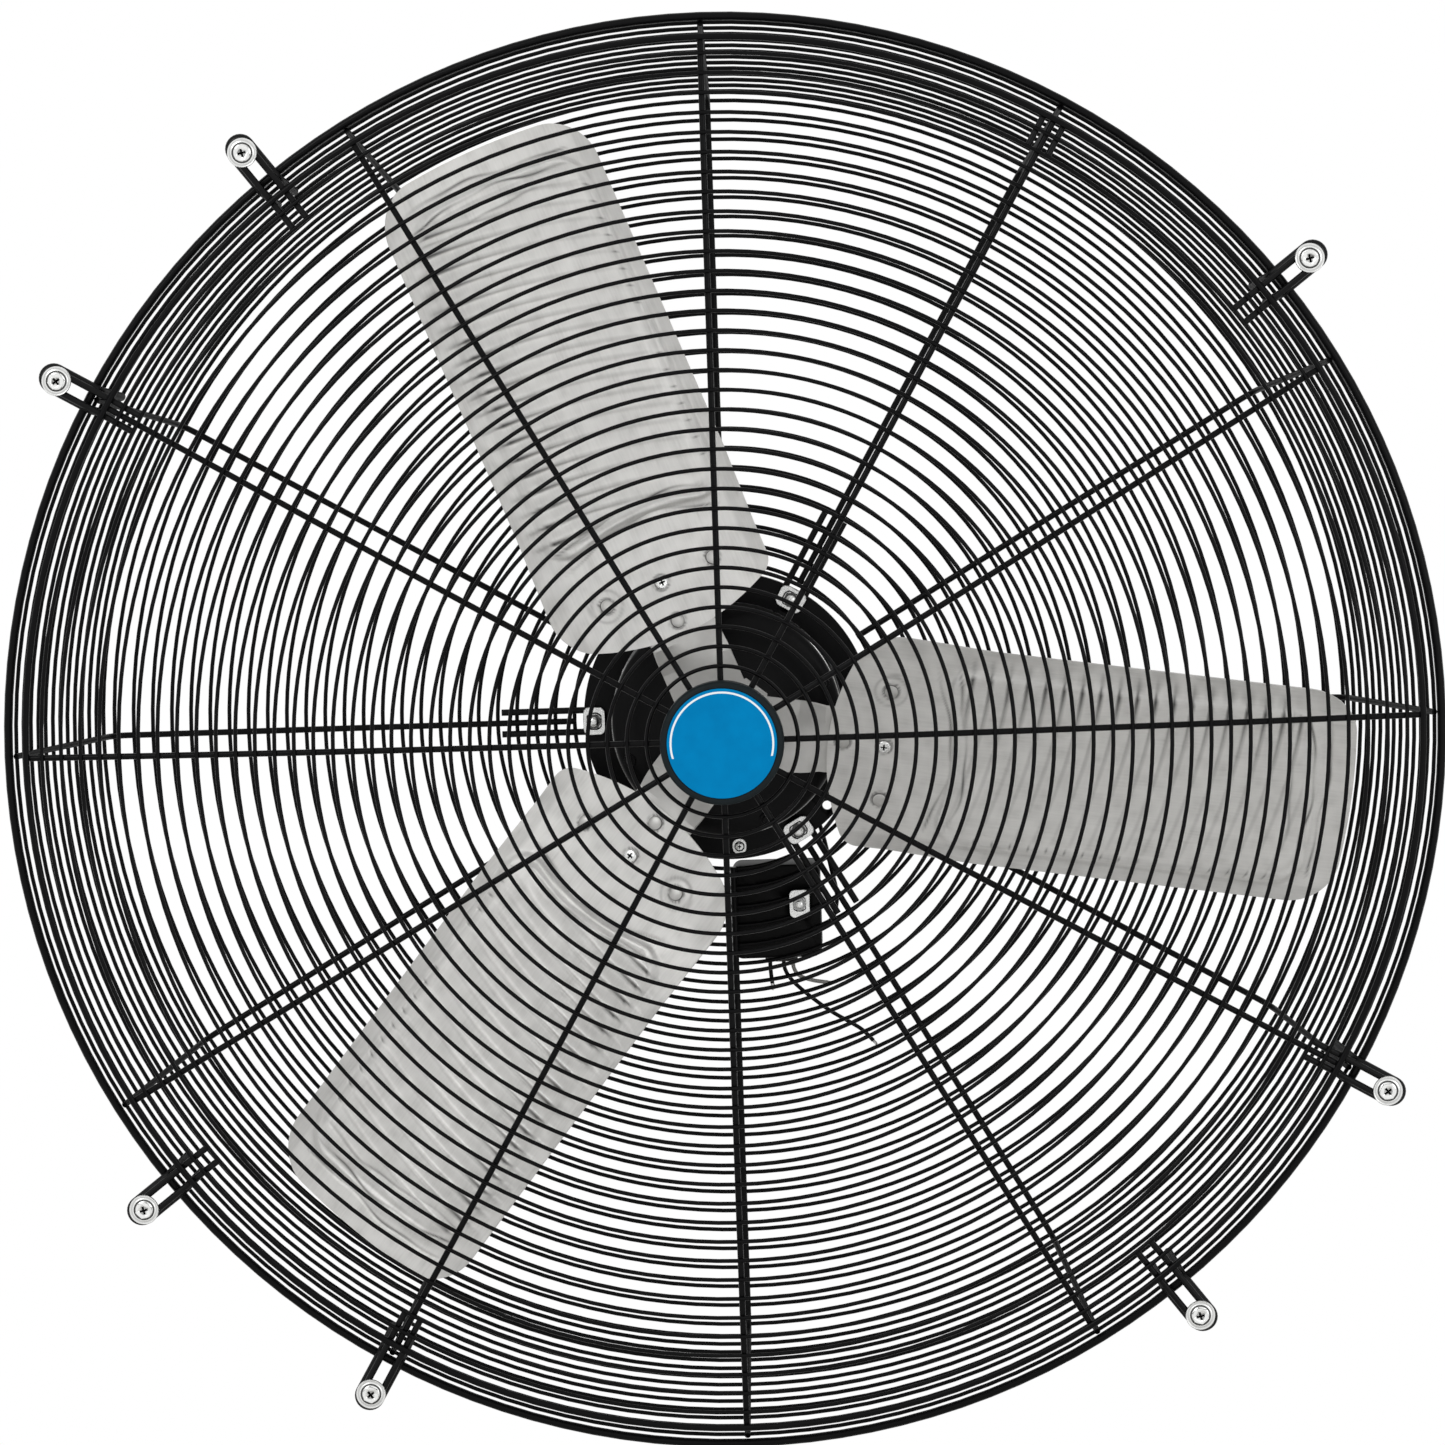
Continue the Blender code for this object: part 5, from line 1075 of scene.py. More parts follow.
def build_motor_mounts(finish):
    """Hairpins that carry the motor on the basket's rings, with their clamp plates, nuts and bolts."""
    zinc = finish["zinc"]
    steps = 14
    path = [(HAIRPIN_END, HAIRPIN_Y, HAIRPIN_HALF)]
    for i in range(steps + 1):
        angle = math.pi / 2 + math.pi * i / steps
        path.append((LUG_CIRCLE + HAIRPIN_HALF * math.cos(angle), HAIRPIN_Y, HAIRPIN_HALF * math.sin(angle)))
    path.append((HAIRPIN_END, HAIRPIN_Y, -HAIRPIN_HALF))
    pins = wire("motor_hairpins", [path], HAIRPIN_WIRE, finish["loop_coat"], 7)
    dress(at_lugs(pins), "frame", "loop_wire", *numbered("motor_hairpin", LUG_COUNT))
    there = Matrix.Translation((LUG_CIRCLE, 0, 0))
    washer = clamp_plate("lug_clamp_plates", width=0.016, height=0.0205, corner=0.0045,
                         front=LUG_PLATE_FRONT_Y, back=LUG_PLATE_BACK_Y, hole=0.0034, groove=(0.0058, 0.0068),
                         material=zinc)
    dress(at_lugs(move(washer, there)), "frame", "zinc_fastener", *numbered("lug_washer", LUG_COUNT))
    nut = new_piece("nut", hex_nut(0.0057, LUG_NUT_FRONT_Y, LUG_NUT_BACK_Y), zinc)
    # Painted shade darkens the whole nut
    parts = [paint_shade(nut, lambda co: 0.9),
             bolt_crown(0.0037, base_y=0.1300, rise=0.0016, seat_y=0.1312, material=zinc),
             new_piece("stud", stud(0.0031, 0.1320, 0.152), zinc),
             new_piece("bolt_head", hex_nut(0.0062, FLANGE_BACK_Y + CLEARANCE, FLANGE_BACK_Y + 0.0043), zinc)]
    bolts = move(join("lug_bolts", parts), there)
    # The earth screw and its tag, low on the flange's face
    earth_radius, earth_angle = 0.0966, math.radians(-86.9)
    tag = clamp_plate("tag", width=0.0104, height=0.0112, corner=0.0045, front=FLANGE_FRONT_Y - 0.0013,
                      back=FLANGE_FRONT_Y - 0.0001, hole=0.0018, groove=(0.0030, 0.0038), material=zinc)
    head = cross_screw("head", radius=0.0029, height=0.0018, seat_y=FLANGE_FRONT_Y - 0.0014, shank=0.0016,
                       tip_y=FLANGE_FRONT_Y + 0.0055, material=zinc)
    earth = move(join("earth_screw", [tag, head]), Matrix.Translation(polar(earth_radius, earth_angle, 0)))
    dress(earth, "frame", "zinc_fastener")
    dress(at_lugs(bolts), "frame", "zinc_fastener", *numbered("lug_bolt", LUG_COUNT))


# ---- hub cap

def build_hub_cap(finish):
    """The moulded cap over the middle of the front guard, its plain badge, and the plate behind it."""
    back, front = CAP_BACK_Y, CAP_FRONT_Y
    shoulder, groove, wall, post = 0.0035, 0.0006, 0.0025, 0.006
    floor_y = front + 0.0012
    seat = BADGE_RADIUS + CLEARANCE
    post_end = PLATE_FRONT_Y - CLEARANCE
    profile = [(0, floor_y), (seat, floor_y), (seat, front + 0.0004), (seat + 0.0004, front)]
    for i in range(7):
        angle = math.pi / 2 * (1 - i / 6)
        profile.append((CAP_RADIUS - shoulder + shoulder * math.cos(angle),
                        front + shoulder - shoulder * math.sin(angle)))
    profile += [(CAP_RADIUS, back - 0.0022), (CAP_RADIUS - groove, back - 0.0018),
                (CAP_RADIUS - groove, back), (CAP_RADIUS - wall, back), (CAP_RADIUS - wall, floor_y + 0.0028),
                (post + 0.001, floor_y + 0.0025), (post, floor_y + 0.004), (post, post_end), (0, post_end)]
    dress(new_piece("hub_cap_shell", lathe(profile, 128), finish["cap"]), "frame", "cap_plastic", "hub_cap")
    edge, thickness = 0.0003, 0.0009
    badge = [(0, front), (BADGE_RADIUS - edge, front), (BADGE_RADIUS, front + edge),
             (BADGE_RADIUS, front + thickness), (0, front + thickness)]
    dress(new_piece("round_badge", lathe(badge, 128), finish["badge"]), "frame", "badge_blue", "hub_badge")
    near, far = PLATE_FRONT_Y, PLATE_BACK_Y
    hole, rim, edge, swell = 0.0024, 0.0435, 0.0005, 0.0006
    plate = [(hole, near), (rim - edge, near), (rim, near + edge), (rim, far - edge), (rim - edge, far),
             (0.012, far), (0.010, far + swell), (hole, far + swell)]
    dress(new_piece("cap_backing_plate", lathe(plate, 96), finish["plate"]), "frame", "cap_plate_paint",
          "cap_plate")
    head = cross_screw("cap_fixing_screw", radius=0.004, height=0.0025, seat_y=0.0, shank=0.002, tip_y=0.0118,
                       material=finish["zinc"])
    move(head, Matrix.Translation((0, far + CLEARANCE, 0)) @ Matrix.Rotation(math.pi, 4, "X"))
    dress(head, "frame", "zinc_fastener", "cap_screw")


# ---- motor

def build_motor(finish):
    """The motor's shields, shell, flange and through bolts, with finishes on what it hides."""
    paint = finish["motor"]
    boss, wall, shaft_bore = 0.024, 0.004, 0.0085
    for name, node, end_y, inward in (("front_end_shield", "motor_front_shield", MOTOR_FRONT_Y, 1),
                                      ("rear_end_shield", "motor_rear_shield", MOTOR_BACK_Y, -1)):
        bore = shaft_bore if inward == 1 else 0
        # The casting's section: a radius, and how far in from the motor's end it lies
        section = [(bore, 0.0), (boss - 0.0015, 0.0), (boss - 0.0004, 0.0005), (boss, 0.0015), (boss, 0.0050),
                   (boss + 0.0020, 0.0066), (0.040, 0.0092), (0.043, 0.0104), (0.062, 0.0128),
                   (0.066, 0.0126), (0.072, 0.0128), (0.0780, 0.0142), (0.0815, 0.0158), (0.0834, 0.0180),
                   (SHELL_RADIUS, 0.0205), (SHELL_RADIUS, 0.0220), (SHELL_RADIUS - wall, 0.0220),
                   (boss, 0.0110), (bore, 0.0080)]
        profile = [(radius, end_y + inward * depth) for radius, depth in section]
        dress(new_piece(name, lathe(profile, 128), paint, 30), "frame", "motor_paint", node)
    lip, sheet = 0.0006, 0.0025
    shell = [(SHELL_RADIUS - lip, SHELL_FRONT_Y), (SHELL_RADIUS, SHELL_FRONT_Y + lip),
             (SHELL_RADIUS, SHELL_BACK_Y - lip), (SHELL_RADIUS - lip, SHELL_BACK_Y),
             (SHELL_RADIUS - sheet, SHELL_BACK_Y), (SHELL_RADIUS - sheet, SHELL_FRONT_Y)]
    dress(new_piece("motor_can", lathe(shell, 128), paint), "frame", "motor_paint", "motor_shell")
    # The bare metal edge where the shield meets the shell, with a painted highlight brightest on its upper
    # right and painted shade further round
    seam = [(SHELL_RADIUS - 0.0006, SHELL_FRONT_Y - 0.0012), (SHELL_RADIUS + 0.0005, SHELL_FRONT_Y - 0.0009),
            (SHELL_RADIUS + 0.0005, SHELL_FRONT_Y - 0.0001), (SHELL_RADIUS - 0.0006, SHELL_FRONT_Y - 0.0001)]
    highlight_angle, dull = math.radians(50), math.radians(55)
    rim = paint_shade(new_piece("painted_highlight_rim", lathe(seam, 144), finish["zinc"]), lambda co: 1 - max(
        0.35, min(1.0, 1.8 - abs(math.atan2(co.z, co.x) - highlight_angle) / dull)))
    dress(rim, "frame", "core_iron")
    front, back = FLANGE_FRONT_Y, FLANGE_BACK_Y
    inner, edge = SHELL_RADIUS + CLEARANCE, 0.0008
    ring = [(inner, front), (FLANGE_RADIUS - edge, front), (FLANGE_RADIUS, front + edge),
            (FLANGE_RADIUS, back - edge), (FLANGE_RADIUS - edge, back), (inner, back)]
    flange = new_piece("motor_flange_ring", lathe(ring, 144), paint)
    # Three bolt holes and one that stays open
    drills = [(LUG_ANGLE + math.tau * n / LUG_COUNT, 0.0034) for n in range(LUG_COUNT)]
    drills.append((math.radians(-44), 0.0035))
    for angle, radius in drills:
        drill = new_piece("drill", lathe([(0, front - 0.002), (radius, front - 0.002), (radius, back + 0.002),
                                          (0, back + 0.002)], 32), paint)
        cut_away(flange, move(drill, Matrix.Translation(polar(LUG_CIRCLE, angle, 0))))
    dress(flange, "frame", "motor_paint", "motor_flange")

    bolt_circle, bolt_count, bolt_angle = 0.0765, 4, math.radians(20)
    for name, y, face in (("front_tie_nuts", MOTOR_FRONT_Y + 0.0150, -1),
                          ("rear_tie_nuts", MOTOR_BACK_Y - 0.0150, 1)):
        top = y + face * 0.0045
        parts = [new_piece("nut", hex_nut(0.0046, min(y, top), max(y, top)), paint),
                 new_piece("tip", lathe([(0, y), (0.0023, y), (0.0023, y + face * 0.0072),
                                         (0.0018, y + face * 0.0078), (0, y + face * 0.0078)], 20), paint)]
        nuts = move(join(name, parts), Matrix.Translation((bolt_circle, 0, 0)))
        dress(round_copies(nuts, bolt_count, bolt_angle), "frame", "motor_paint")

    nose, tail = PROP_Y - HUB_LENGTH / 2 - 0.004, 0.1985
    shaft = [(0, nose + 0.0015), (0.0012, nose), (SHAFT_RADIUS - 0.0008, nose), (SHAFT_RADIUS, nose + 0.0008),
             (SHAFT_RADIUS, tail), (0, tail)]
    dress(new_piece("turned_shaft", lathe(shaft, 64), finish["shaft"]), "rotor", "shaft_steel", "motor_shaft")
    for node, look in (("stator_core", "iron"), ("stator_winding", "copper"), ("rotor_core", "iron"),
                       ("front_bearing", "bearing"), ("rear_bearing", "bearing")):
        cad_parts[node].data.materials.clear()
        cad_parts[node].data.materials.append(finish[look])


# ---- propeller

def blade_matrix(angle):
    """A blade's place on the hub: X runs out from the hub, Y along the chord, Z to the room side."""
    outward = Vector((math.cos(angle), 0, math.sin(angle)))
    tangent = Vector((-math.sin(angle), 0, math.cos(angle)))
    axis = Vector((0, 1, 0))
    chord = tangent * math.cos(BLADE_PITCH) - axis * math.sin(BLADE_PITCH)
    face = -tangent * math.sin(BLADE_PITCH) - axis * math.cos(BLADE_PITCH)
    turned = Matrix((outward, chord, face)).transposed().to_4x4()
    return Matrix.Translation((0, PROP_Y, 0)) @ turned


def smooth_step(value, start, end):
    """0 before start and 1 after end, with a soft run between."""
    t = np.clip((value - start) / (end - start), 0, 1)
    return t * t * (3 - 2 * t)


def corner_loss(distance, rounding):
    """How far a rounded corner pulls an end edge back at a distance from the side edge."""
    near = np.clip(rounding - distance, 0, rounding)
    return rounding - np.sqrt(rounding ** 2 - near ** 2)


def bump_line(distance, width):
    """1 on a line and 0 away from it, soft over a width."""
    return np.exp(-(distance / width) ** 2)


def blade_outline():
    """A grid of places on a flat blade in its own frame, out from the hub and along the chord."""
    tip_round, lead_root_round, trail_root_round = 0.032, 0.022, 0.009
    round_steps, middle_step, rows = 14, 0.0019, 420
    near = tip_round * (1 - np.cos(np.linspace(0, math.pi / 2, round_steps)))
    middle = np.arange(-BLADE_TRAIL + tip_round + middle_step, BLADE_LEAD - tip_round - middle_step / 2,
                       middle_step)
    chord = np.concatenate([-BLADE_TRAIL + near, middle, (BLADE_LEAD - near)[::-1]])
    edge = np.minimum(chord + BLADE_TRAIL, BLADE_LEAD - chord)
    tip = np.sqrt(BLADE_TIP ** 2 - (chord * math.cos(BLADE_PITCH)) ** 2) - corner_loss(edge, tip_round)
    root = BLADE_ROOT + BLADE_ROOT_SWEEP * (chord / CHORD_HALF) ** 2
    root += (corner_loss(BLADE_LEAD - chord, lead_root_round)
             + corner_loss(chord + BLADE_TRAIL, trail_root_round))
    x = root + (tip - root) * np.linspace(0, 1, rows)[:, None]
    return x, np.broadcast_to(chord, x.shape)


def press_panel(x, y, reach):
    """How far a place lies outside the raised panel, and how high the sheet stands there.

    The panel is a rounded rectangle whose ends are arcs about the fan's axis, with a rim and a drawn-down
    line round it. Past the arm the whole sheet is curved along its chord.
    """
    camber, camber_run, rise, slope = 0.006, 0.060, 0.0026, 0.0025
    across = np.abs(reach - (PANEL_LOW + PANEL_HIGH) / 2) - (PANEL_HIGH - PANEL_LOW) / 2 + PANEL_CORNER
    along = np.abs(y - (PANEL_TRAIL + PANEL_LEAD) / 2) - (PANEL_LEAD - PANEL_TRAIL) / 2 + PANEL_CORNER
    outside = (np.minimum(np.maximum(across, along), 0)
               + np.hypot(np.maximum(across, 0), np.maximum(along, 0)) - PANEL_CORNER)
    height = camber * np.clip((x - ARM_LENGTH) / camber_run, 0, 1) * ((y - CHORD_MIDDLE) / CHORD_HALF) ** 2
    height += rise * smooth_step(-outside, -slope, slope)
    height += 0.0012 * bump_line(outside - 0.0005, 0.0018) - 0.0007 * bump_line(outside + 0.0055, 0.0020)
    return outside, height


def within_panel(reach, margin, run):
    """1 between the panel's two ends, a margin in from each, and 0 past them."""
    return smooth_step(PANEL_HIGH - margin - reach, 0, run) * smooth_step(reach - PANEL_LOW - margin, 0, run)


def press_ribs(x, y, reach, outside):
    """Height of the cross ribs, the painted shade and highlight laid along them, and where each place lies on
    the way from one rib to the next.

    They start sharp at the leading edge, bend a little outwards and die away by the trailing edge.
    """
    rib_pitch, rib_height, first_rib = 0.0133, 0.0015, 0.172
    down = np.maximum(PANEL_LEAD - y, 0)
    run = (x - first_rib + 0.02 * down + 1.2 * down ** 2) / rib_pitch % 1.0
    ridge = smooth_step(run, 0.0, 0.16) * (1 - smooth_step(run, 0.30, 0.95))
    inside = smooth_step(-outside, 0.0008, 0.0030) * smooth_step(PANEL_HIGH - 0.006 - reach, 0, 0.008)
    inside *= smooth_step(reach - PANEL_LOW - 0.003, 0, 0.006)
    inside *= smooth_step(y, PANEL_TRAIL + 0.006, PANEL_TRAIL + 0.012)
    fade = 0.14 + 0.86 * np.exp(-down / 0.050)
    strip = smooth_step(y, PANEL_LEAD - 0.002, PANEL_LEAD + 0.001)
    strip *= 1 - smooth_step(y, PANEL_LEAD + 0.007, PANEL_LEAD + 0.017)
    strip *= within_panel(reach, 0.012, 0.01)
    height = rib_height * ridge * np.maximum(inside * fade, strip * 0.4)
    # Painted shade: a crisp dark mark at each rib's foot and a soft band after it, and a painted highlight
    # between ribs where the soft band goes below 0
    mark = bump_line(run - 0.12, 0.11 - 0.06 * smooth_step(down, 0.002, 0.030))
    soft = 0.60 * bump_line(run - 0.20, 0.12) - 0.70 * bump_line(run - 0.60, 0.17)
    painted_light = inside * (0.80 * np.exp(-down / 0.030) * mark + (0.22 + 0.45 * np.exp(-down / 0.060)) * soft)
    # Painted shade in cloudy patches over the strip outside the panel's leading side
    cloudy = 0.5 + 0.5 * np.sin(x * 95 + 2 * np.sin(x * 41)) * np.sin(y * 160 + x * 30)
    painted_light += 0.20 * cloudy * smooth_step(y, PANEL_LEAD + 0.0010, PANEL_LEAD + 0.0040)
    painted_light += 0.22 * strip * (mark + soft)
    return height, painted_light, run


def side_lines_and_dents(y, reach, run, height, painted_light):
    """Painted highlight lines along the panel's long sides, faint painted shade beside the trailing one and
    over the trailing strip, and small dents where each rib meets them, with painted shade in each dent.
    """
    long_side = within_panel(reach, 0.016, 0.004)
    for side, width, size in ((PANEL_TRAIL + 0.0005, 0.0010, 1.0), (PANEL_TRAIL + 0.0060, 0.0010, 0.9),
                              (PANEL_LEAD - 0.0005, 0.0011, 0.8)):
        painted_light = painted_light - size * long_side * bump_line(y - side, width)
    painted_light += 0.20 * long_side * bump_line(y - PANEL_TRAIL - 0.0033, 0.0020)
    painted_light += 0.17 * smooth_step(PANEL_TRAIL - 0.001 - y, 0, 0.002)
    dent = bump_line(run - 0.12, 0.075) * long_side
    for side in (PANEL_TRAIL + 0.0033, PANEL_LEAD + 0.001):
        spot = dent * bump_line(y - side, 0.0019)
        height = height - 0.0006 * spot
        painted_light = np.maximum(painted_light, 0.85 * spot)
    return height, painted_light


def fold_ends(y, reach, outside, height, painted_light):
    """The loose folds that the press left in the sheet at both ends of the panel, with painted shade and
    painted highlight along their lines.
    """
    # Each line's radius, width, depth, phase and tone: painted shade above 0, and a painted highlight below 0
    # where it stands up
    for centre, spread, depth, phase, tone in (
            (0.4375, 0.0009, 0.0006, 0.0, 0.85), (0.4265, 0.0009, 0.0005, 1.1, 0.95),
            (0.4315, 0.0016, -0.0004, 0.6, -0.80), (0.4120, 0.0009, 0.0003, 2.7, 0.55),
            (0.163, 0.0009, 0.0006, 2.0, 0.80), (0.1755, 0.0009, 0.0005, 3.1, 0.75),
            (0.1690, 0.0016, -0.0003, 2.4, -0.50)):
        wander = 0.0022 * np.sin(y * 48 + phase) + 0.0009 * np.sin(y * 131 + 2 * phase)
        line = bump_line(reach - centre - wander, spread)
        line *= smooth_step(CHORD_HALF - 0.016 - np.abs(y - CHORD_MIDDLE), 0, 0.012)
        broken = 0.6 + 0.4 * np.sin(y * 75 + 3 * phase)
        height = height - depth * line
        painted_light = painted_light + tone * line * broken
    for centre, width in ((0.180, 0.014), (0.416, 0.010)):
        fold = bump_line(reach - centre, width) * smooth_step(-outside, 0.0, 0.01)
        height += 0.0004 * fold * (np.sin(y * 85 + reach * 60) + 0.5 * np.sin(y * 190 - reach * 140 + 1.3))
    return height, painted_light


def draw_down(x, y, height, painted_light):
    """The sheet drawn down a little round each fastener, and most round the outer leading rivet, with a ring
    of painted shade round each.
    """
    for place_x, place_y in (*RIVET_PLACES, CROSS_SCREW_PLACE):
        away = np.hypot(x - place_x, y - place_y)
        height = height - 0.0003 * bump_line(away, 0.0085)
        painted_light = np.maximum(painted_light, 0.75 * bump_line(away - 0.0060, 0.0007))
    away = np.hypot(x - RIVET_PLACES[0][0], y - RIVET_PLACES[0][1])
    height -= 0.0004 * bump_line(away - 0.0100, 0.0020)
    painted_light += 0.28 * bump_line(away - 0.0118, 0.0011)
    return height, painted_light


def blade_grid():
    """Places of a pressed blade's sheet in its own frame, and the painted shade and painted highlight at
    each.
    """
    x, y = blade_outline()
    reach = np.hypot(x, y * math.cos(BLADE_PITCH))
    outside, height = press_panel(x, y, reach)
    ribs, painted_light, run = press_ribs(x, y, reach, outside)
    height, painted_light = side_lines_and_dents(y, reach, run, height + ribs, painted_light)
    height, painted_light = fold_ends(y, reach, outside, height, painted_light)
    height, painted_light = draw_down(x, y, height, painted_light)
    return x, y, height, np.clip(painted_light, -1, 1)


def blade_sheet(name, angle, material):
    """One pressed blade with its thickness, in place on the hub."""
    x, y, height, painted_light = blade_grid()
    rows, columns = x.shape
    back = np.stack([x, y, height], -1).reshape(-1, 3)
    front = back + (0, 0, BLADE_THICKNESS)
    index = np.arange(rows * columns).reshape(rows, columns)
    quads = np.stack([index[:-1, :-1], index[:-1, 1:], index[1:, 1:], index[1:, :-1]], -1).reshape(-1, 4)
    count = rows * columns
    loop = np.concatenate([index[0, :-1], index[:-1, -1], index[-1, :0:-1], index[:0:-1, 0]])
    after = np.roll(loop, -1)
    rim = np.stack([loop, after, after + count, loop + count], -1)
    faces = np.concatenate([quads[:, ::-1], quads + count, rim])
    mesh = bpy.data.meshes.new(name)
    mesh.from_pydata(np.concatenate([back, front]).tolist(), [], faces.tolist())
    place = mesh.attributes.new("sheet_place", "FLOAT_VECTOR", "POINT")
    place.data.foreach_set("vector", np.concatenate([back, front]).ravel())
    shade = mesh.attributes.new("painted_light", "FLOAT", "POINT")
    shade.data.foreach_set("value", np.tile(painted_light.ravel(), 2))
    mesh.transform(blade_matrix(angle))
    mesh.materials.append(material)
    mesh.update()
    mesh.shade_smooth()
    mesh.set_sharp_from_angle(angle=math.radians(50))
    return add_object(name, mesh)


def spider_arm(name, material):
    """An arm in a blade's frame: flat by the hub, then turned along a crease to the blade's pitch."""
    half, head, flare = 0.0265, 0.097, 0.086
    lead, trail, corner = 0.058, 0.052, 0.008
    crease_in, crease_out = 0.052, 0.071
    across = 8
    stations = [0.016, 0.030, 0.044, crease_in, crease_in + 0.006, crease_in + 0.012, crease_out, 0.078,
                flare, (flare + head) / 2, head, ARM_LENGTH - corner, ARM_LENGTH - corner * 0.5,
                ARM_LENGTH - corner * 0.15, ARM_LENGTH]
    bm = bmesh.new()
    sheets = []
    for level in (-CLEARANCE, -CLEARANCE - ARM_THICKNESS):
        rows = []
        for x in stations:
            spread = min(max((x - flare) / (head - flare), 0), 1)
            loss = corner - math.sqrt(max(corner ** 2 - max(x - ARM_LENGTH + corner, 0) ** 2, 0))
            high = half + (lead - half) * spread - loss
            low = -half - (trail - half) * spread + loss
            twist = BLADE_PITCH * (1 - min(max((x - crease_in) / (crease_out - crease_in), 0), 1))
            row = []
            for i in range(across + 1):
                y = low + (high - low) * i / across
                row.append(bm.verts.new((x, y * math.cos(twist) + level * math.sin(twist),
                                         -y * math.sin(twist) + level * math.cos(twist))))
            rows.append(row)
        sheets.append(rows)
        for here, there in zip(rows, rows[1:]):
            for i in range(across):
                bm.faces.new((here[i], here[i + 1], there[i + 1], there[i]))
    top, under = sheets
    rim = [rows[0][:-1] + [row[-1] for row in rows[:-1]] + rows[-1][:0:-1] + [row[0] for row in rows[:0:-1]]
           for rows in (top, under)]
    bridge(bm, *rim)
    return new_piece(name, bm, material, 12)


def build_propeller(finish):
    """Three pressed blades riveted to the arms of a steel spider on the motor's shaft."""
    for number, angle in enumerate(BLADE_ANGLES, 1):
        dress(blade_sheet(f"pressed_blade_{number}", angle, finish["blade"]), "rotor", "blade_sheet",
              f"blade_{number}")
    steel = finish["spider"]
    half, edge, bore = HUB_LENGTH / 2, 0.0012, SHAFT_RADIUS + CLEARANCE
    hub = [(bore, -half), (HUB_RADIUS - edge, -half), (HUB_RADIUS, -half + edge),
           (HUB_RADIUS, half - edge), (HUB_RADIUS - edge, half), (bore, half)]
    boss = move(new_piece("boss", lathe(hub, 96), steel), Matrix.Translation((0, PROP_Y, 0)))
    place = blade_matrix(BLADE_ANGLES[0])
    unturned = turn_about_axis(-BLADE_ANGLES[0])
    arm = at_blades(move(spider_arm("arm", steel), unturned @ place))
    # The plate that joins the arms round the hub
    web_radius, web_half = 0.0395, math.radians(14)
    corners = [polar(web_radius, angle + math.pi / 3 + side, 0) for angle in BLADE_ANGLES
               for side in (-web_half, web_half)]
    web = new_piece("web", prism([(p.x, p.z) for p in corners], PROP_Y + 0.0005, PROP_Y + 0.0031), steel)
    spider = join("steel_spider", [boss, arm, web])
    dress(spider, "rotor", "spider_steel", "hub_spider")

    upright = Matrix.Rotation(math.radians(-90), 4, "X")
    seat = -BLADE_THICKNESS - CLEARANCE
    # A flat-domed rivet: head radius, the rim's and the dome's height, shank, and the tail set behind the arm
    head, rim, rise, shank, tail_y = 0.0052, 0.0005, 0.0010, 0.0026, 0.0050
    dome = [(0, seat - rim - rise)]
    for i in range(1, 8):
        angle = math.pi / 2 * i / 7
        dome.append((head * math.sin(angle), seat - rim - rise * math.cos(angle)))
    dome += [(head, seat), (shank, seat), (shank, tail_y), (0.0042, tail_y), (0.0040, 0.0062), (0, 0.0066)]
    rivets = []
    for x, y in RIVET_PLACES:
        # Painted shade round the rim of each rivet head
        rivet = paint_shade(new_piece("rivet", lathe(dome, 36), finish["rivet"]),
                               lambda co: 0.7 if math.hypot(co.x, co.z) > 0.0050 else 0.0)
        rivets.append(move(rivet, place @ Matrix.Translation((x, y, 0)) @ upright))
    rivets = move(join("blade_rivets", rivets), unturned)
    dress(at_blades(rivets), "rotor", "zinc_fastener", "hub_spider")
    screw = cross_screw("blade_screws", radius=0.0049, height=0.0024, seat_y=seat, shank=shank, tip_y=0.0085,
                        material=finish["zinc"])
    move(screw, unturned @ place @ Matrix.Translation((*CROSS_SCREW_PLACE, 0)) @ upright)
    dress(at_blades(screw), "rotor", "zinc_fastener", "hub_spider")

    # The set screw sits in the hub's side, halfway between two arms, with its socket outwards
    foot, top, radius = 0.0083, 0.0274, 0.0032
    pin = [(0, foot), (radius, foot), (radius, top - 0.0005), (radius - 0.0004, top), (0.0016, top),
           (0.0014, 0.0250), (0, 0.0250)]
    set_screw = new_piece("socket_set_screw", lathe(pin, 24), finish["shaft"])
    stand = turn_about_axis(BLADE_ANGLES[0] + math.pi / 3) @ Matrix.Rotation(math.radians(-90), 4, "Z")
    move(set_screw, Matrix.Translation((0, PROP_Y, 0)) @ stand)
    dress(set_screw, "rotor", "shaft_steel", "hub_set_screw")


# ---- junction box

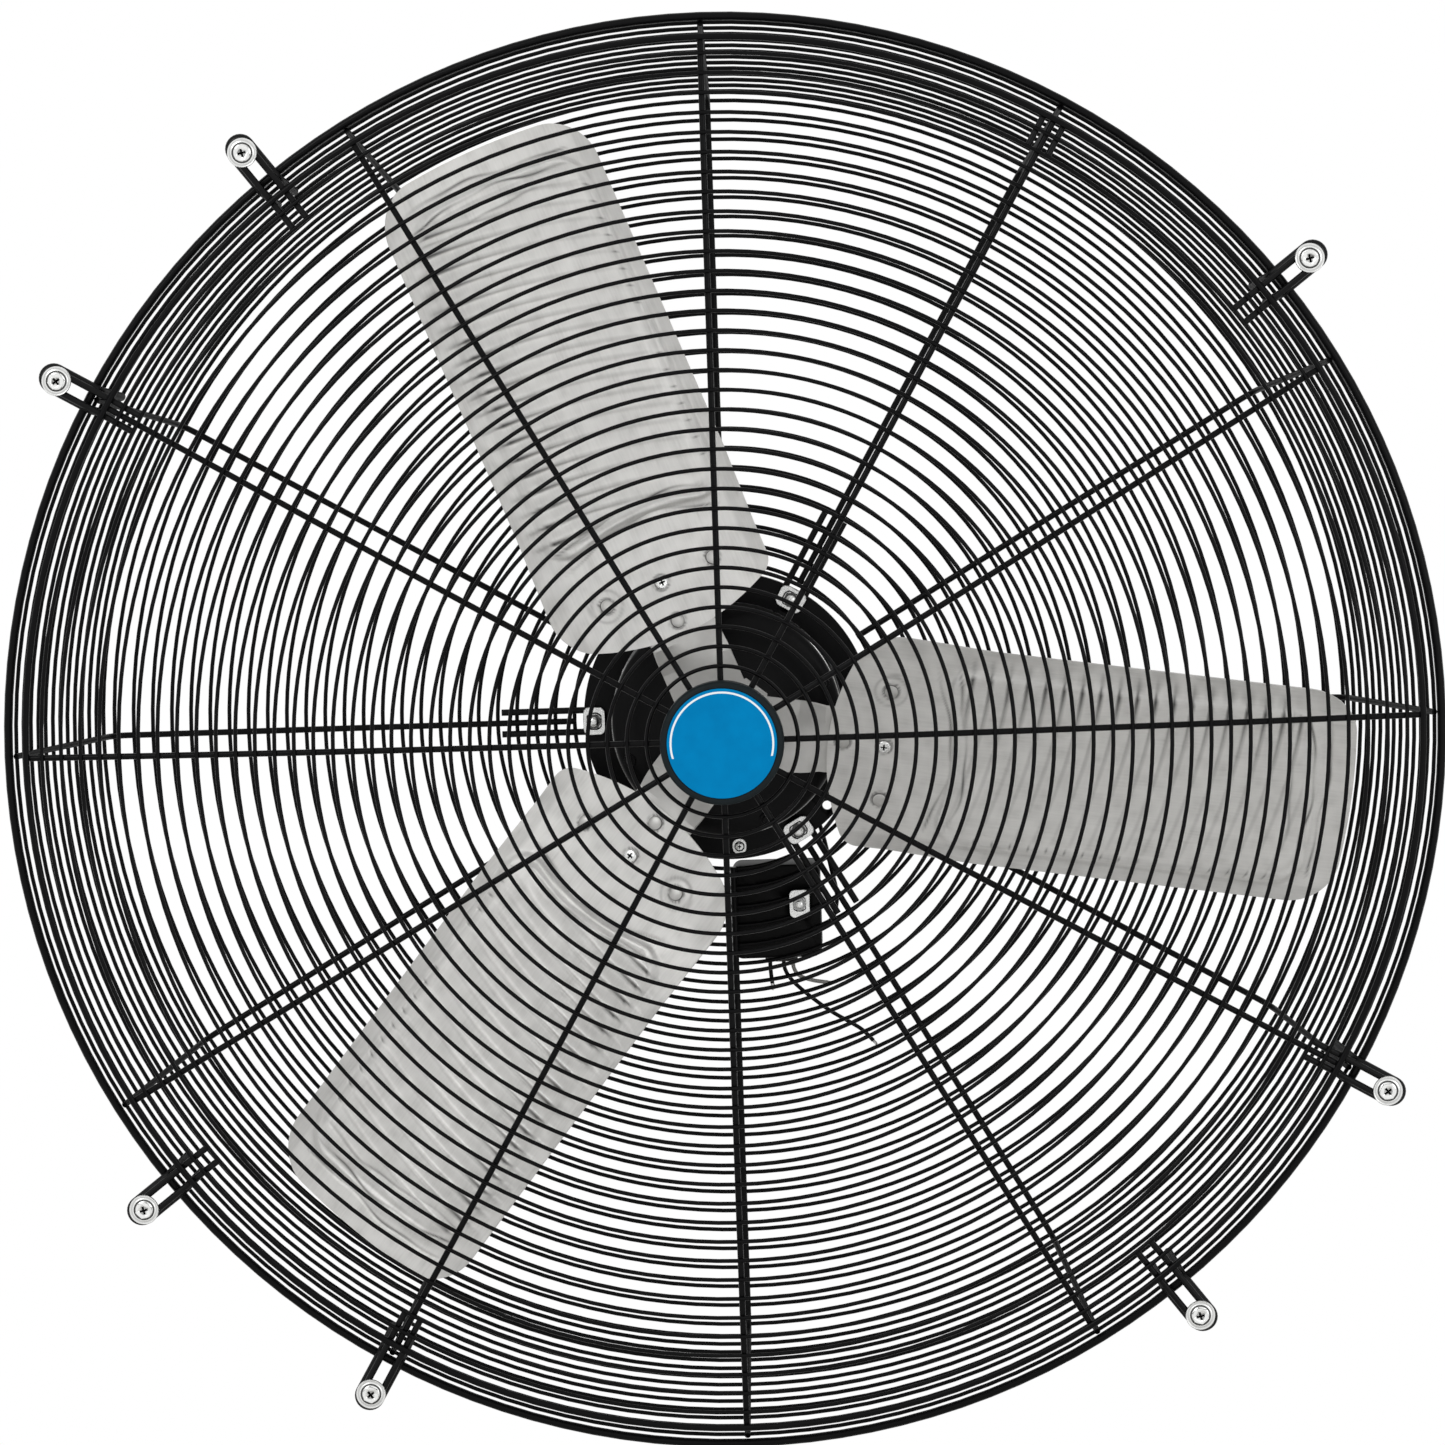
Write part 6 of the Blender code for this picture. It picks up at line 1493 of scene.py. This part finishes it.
def build_junction_box(finish):
    """The wiring box on the back of the basket, with its cover, clamp and grommet."""
    paint, zinc = finish["box"], finish["zinc"]
    here = Matrix.Translation((BOX_X, 0, BOX_Z))
    corner, edge, lid_edge, lid_sheet, bore = 0.007, 0.0018, 0.0005, 0.0015, 0.0027
    outline = rounded_rectangle(2 * BOX_HALF_WIDTH, 2 * BOX_HALF_HEIGHT, corner, 8)
    box = bevelled(new_piece("box_body", prism(outline, BOX_FRONT_Y, BOX_BACK_Y), paint), edge, 3)
    drill = new_piece("drill", lathe([(0, BOX_FRONT_Y - 0.002), (bore, BOX_FRONT_Y - 0.002),
                                      (bore, BOX_FRONT_Y + 0.004), (0, BOX_FRONT_Y + 0.004)], 24), paint)
    clamp_place = polar(CLAMP_RADIUS, CLAMP_ANGLE, 0)
    cut_away(move(box, here), move(drill, Matrix.Translation(clamp_place)))
    dress(box, "frame", "box_paint", "junction_box")
    cover_y = BOX_BACK_Y + CLEARANCE
    cover = bevelled(new_piece("box_lid", prism(outline, cover_y, cover_y + lid_sheet), paint), lid_edge)
    dress(move(cover, here), "frame", "box_paint", "box_cover")
    screws, inset = [], 0.0075
    for x, z in ((-1, -1), (1, 1)):
        screw = cross_screw("lid_screw", radius=0.0034, height=0.0020, seat_y=0.0, shank=0.0015, tip_y=0.0110,
                            material=zinc)
        at = (BOX_X + x * (BOX_HALF_WIDTH - inset), cover_y + 0.0016, BOX_Z + z * (BOX_HALF_HEIGHT - inset))
        screws.append(move(screw, Matrix.Translation(at) @ Matrix.Rotation(math.pi, 4, "X")))
    dress(join("lid_screws", screws), "frame", "zinc_fastener")

    there = Matrix.Translation(clamp_place)
    plate = clamp_plate("box_clamp_plate", width=0.015, height=0.021, corner=0.004, front=CLAMP_PLATE_FRONT_Y,
                        back=CLAMP_PLATE_BACK_Y, hole=bore, groove=(0.0052, 0.0060), material=zinc)
    dress(move(plate, there), "frame", "zinc_fastener", "box_clamp_washer")
    nut = new_piece("nut", hex_nut(0.0050, CLAMP_NUT_FRONT_Y, CLAMP_NUT_BACK_Y, 0.0005), zinc)
    # Painted shade darkens the whole nut
    parts = [paint_shade(nut, lambda co: 0.6),
             bolt_crown(0.0030, base_y=0.1365, rise=0.0013, seat_y=0.1372, material=zinc),
             new_piece("stud", stud(0.0024, 0.1380, 0.1480), zinc),
             new_piece("head", hex_nut(0.0052, 0.1491, 0.1521, 0.0005), zinc)]
    dress(move(join("box_clamp_screw", parts), there), "frame", "zinc_fastener", "box_clamp_bolt")

    radius, top, outlet_y = 0.012, BOX_Z - BOX_HALF_HEIGHT - CLEARANCE, 0.1668
    grommet = [(0, 0), (radius - 0.001, 0), (radius, 0.0008), (radius, 0.0026), (radius - 0.0012, 0.0036),
               (radius * 0.62, 0.0040), (radius * 0.55, 0.0034), (0, 0.0034)]
    made = new_piece("lead_bushing", lathe(grommet, 56), finish["rubber"])
    move(made, Matrix.Translation((BOX_X + 0.002, outlet_y, top)) @ Matrix.Rotation(-math.pi / 2, 4, "X"))
    dress(made, "frame", "grommet_rubber", "lead_grommet")


build_view()
finishes = build_finishes()
build_leads(finishes)
build_stage()
# Every set of rings and every round of copies is grown by one of these two trees
RING_TREE = ring_set_tree()
COPY_TREE = round_copies_tree()
build_front_guard(finishes)
build_rear_guard(finishes)
build_wall_fasteners(finishes)
build_motor_mounts(finishes)
build_hub_cap(finishes)
build_motor(finishes)
build_propeller(finishes)
build_junction_box(finishes)
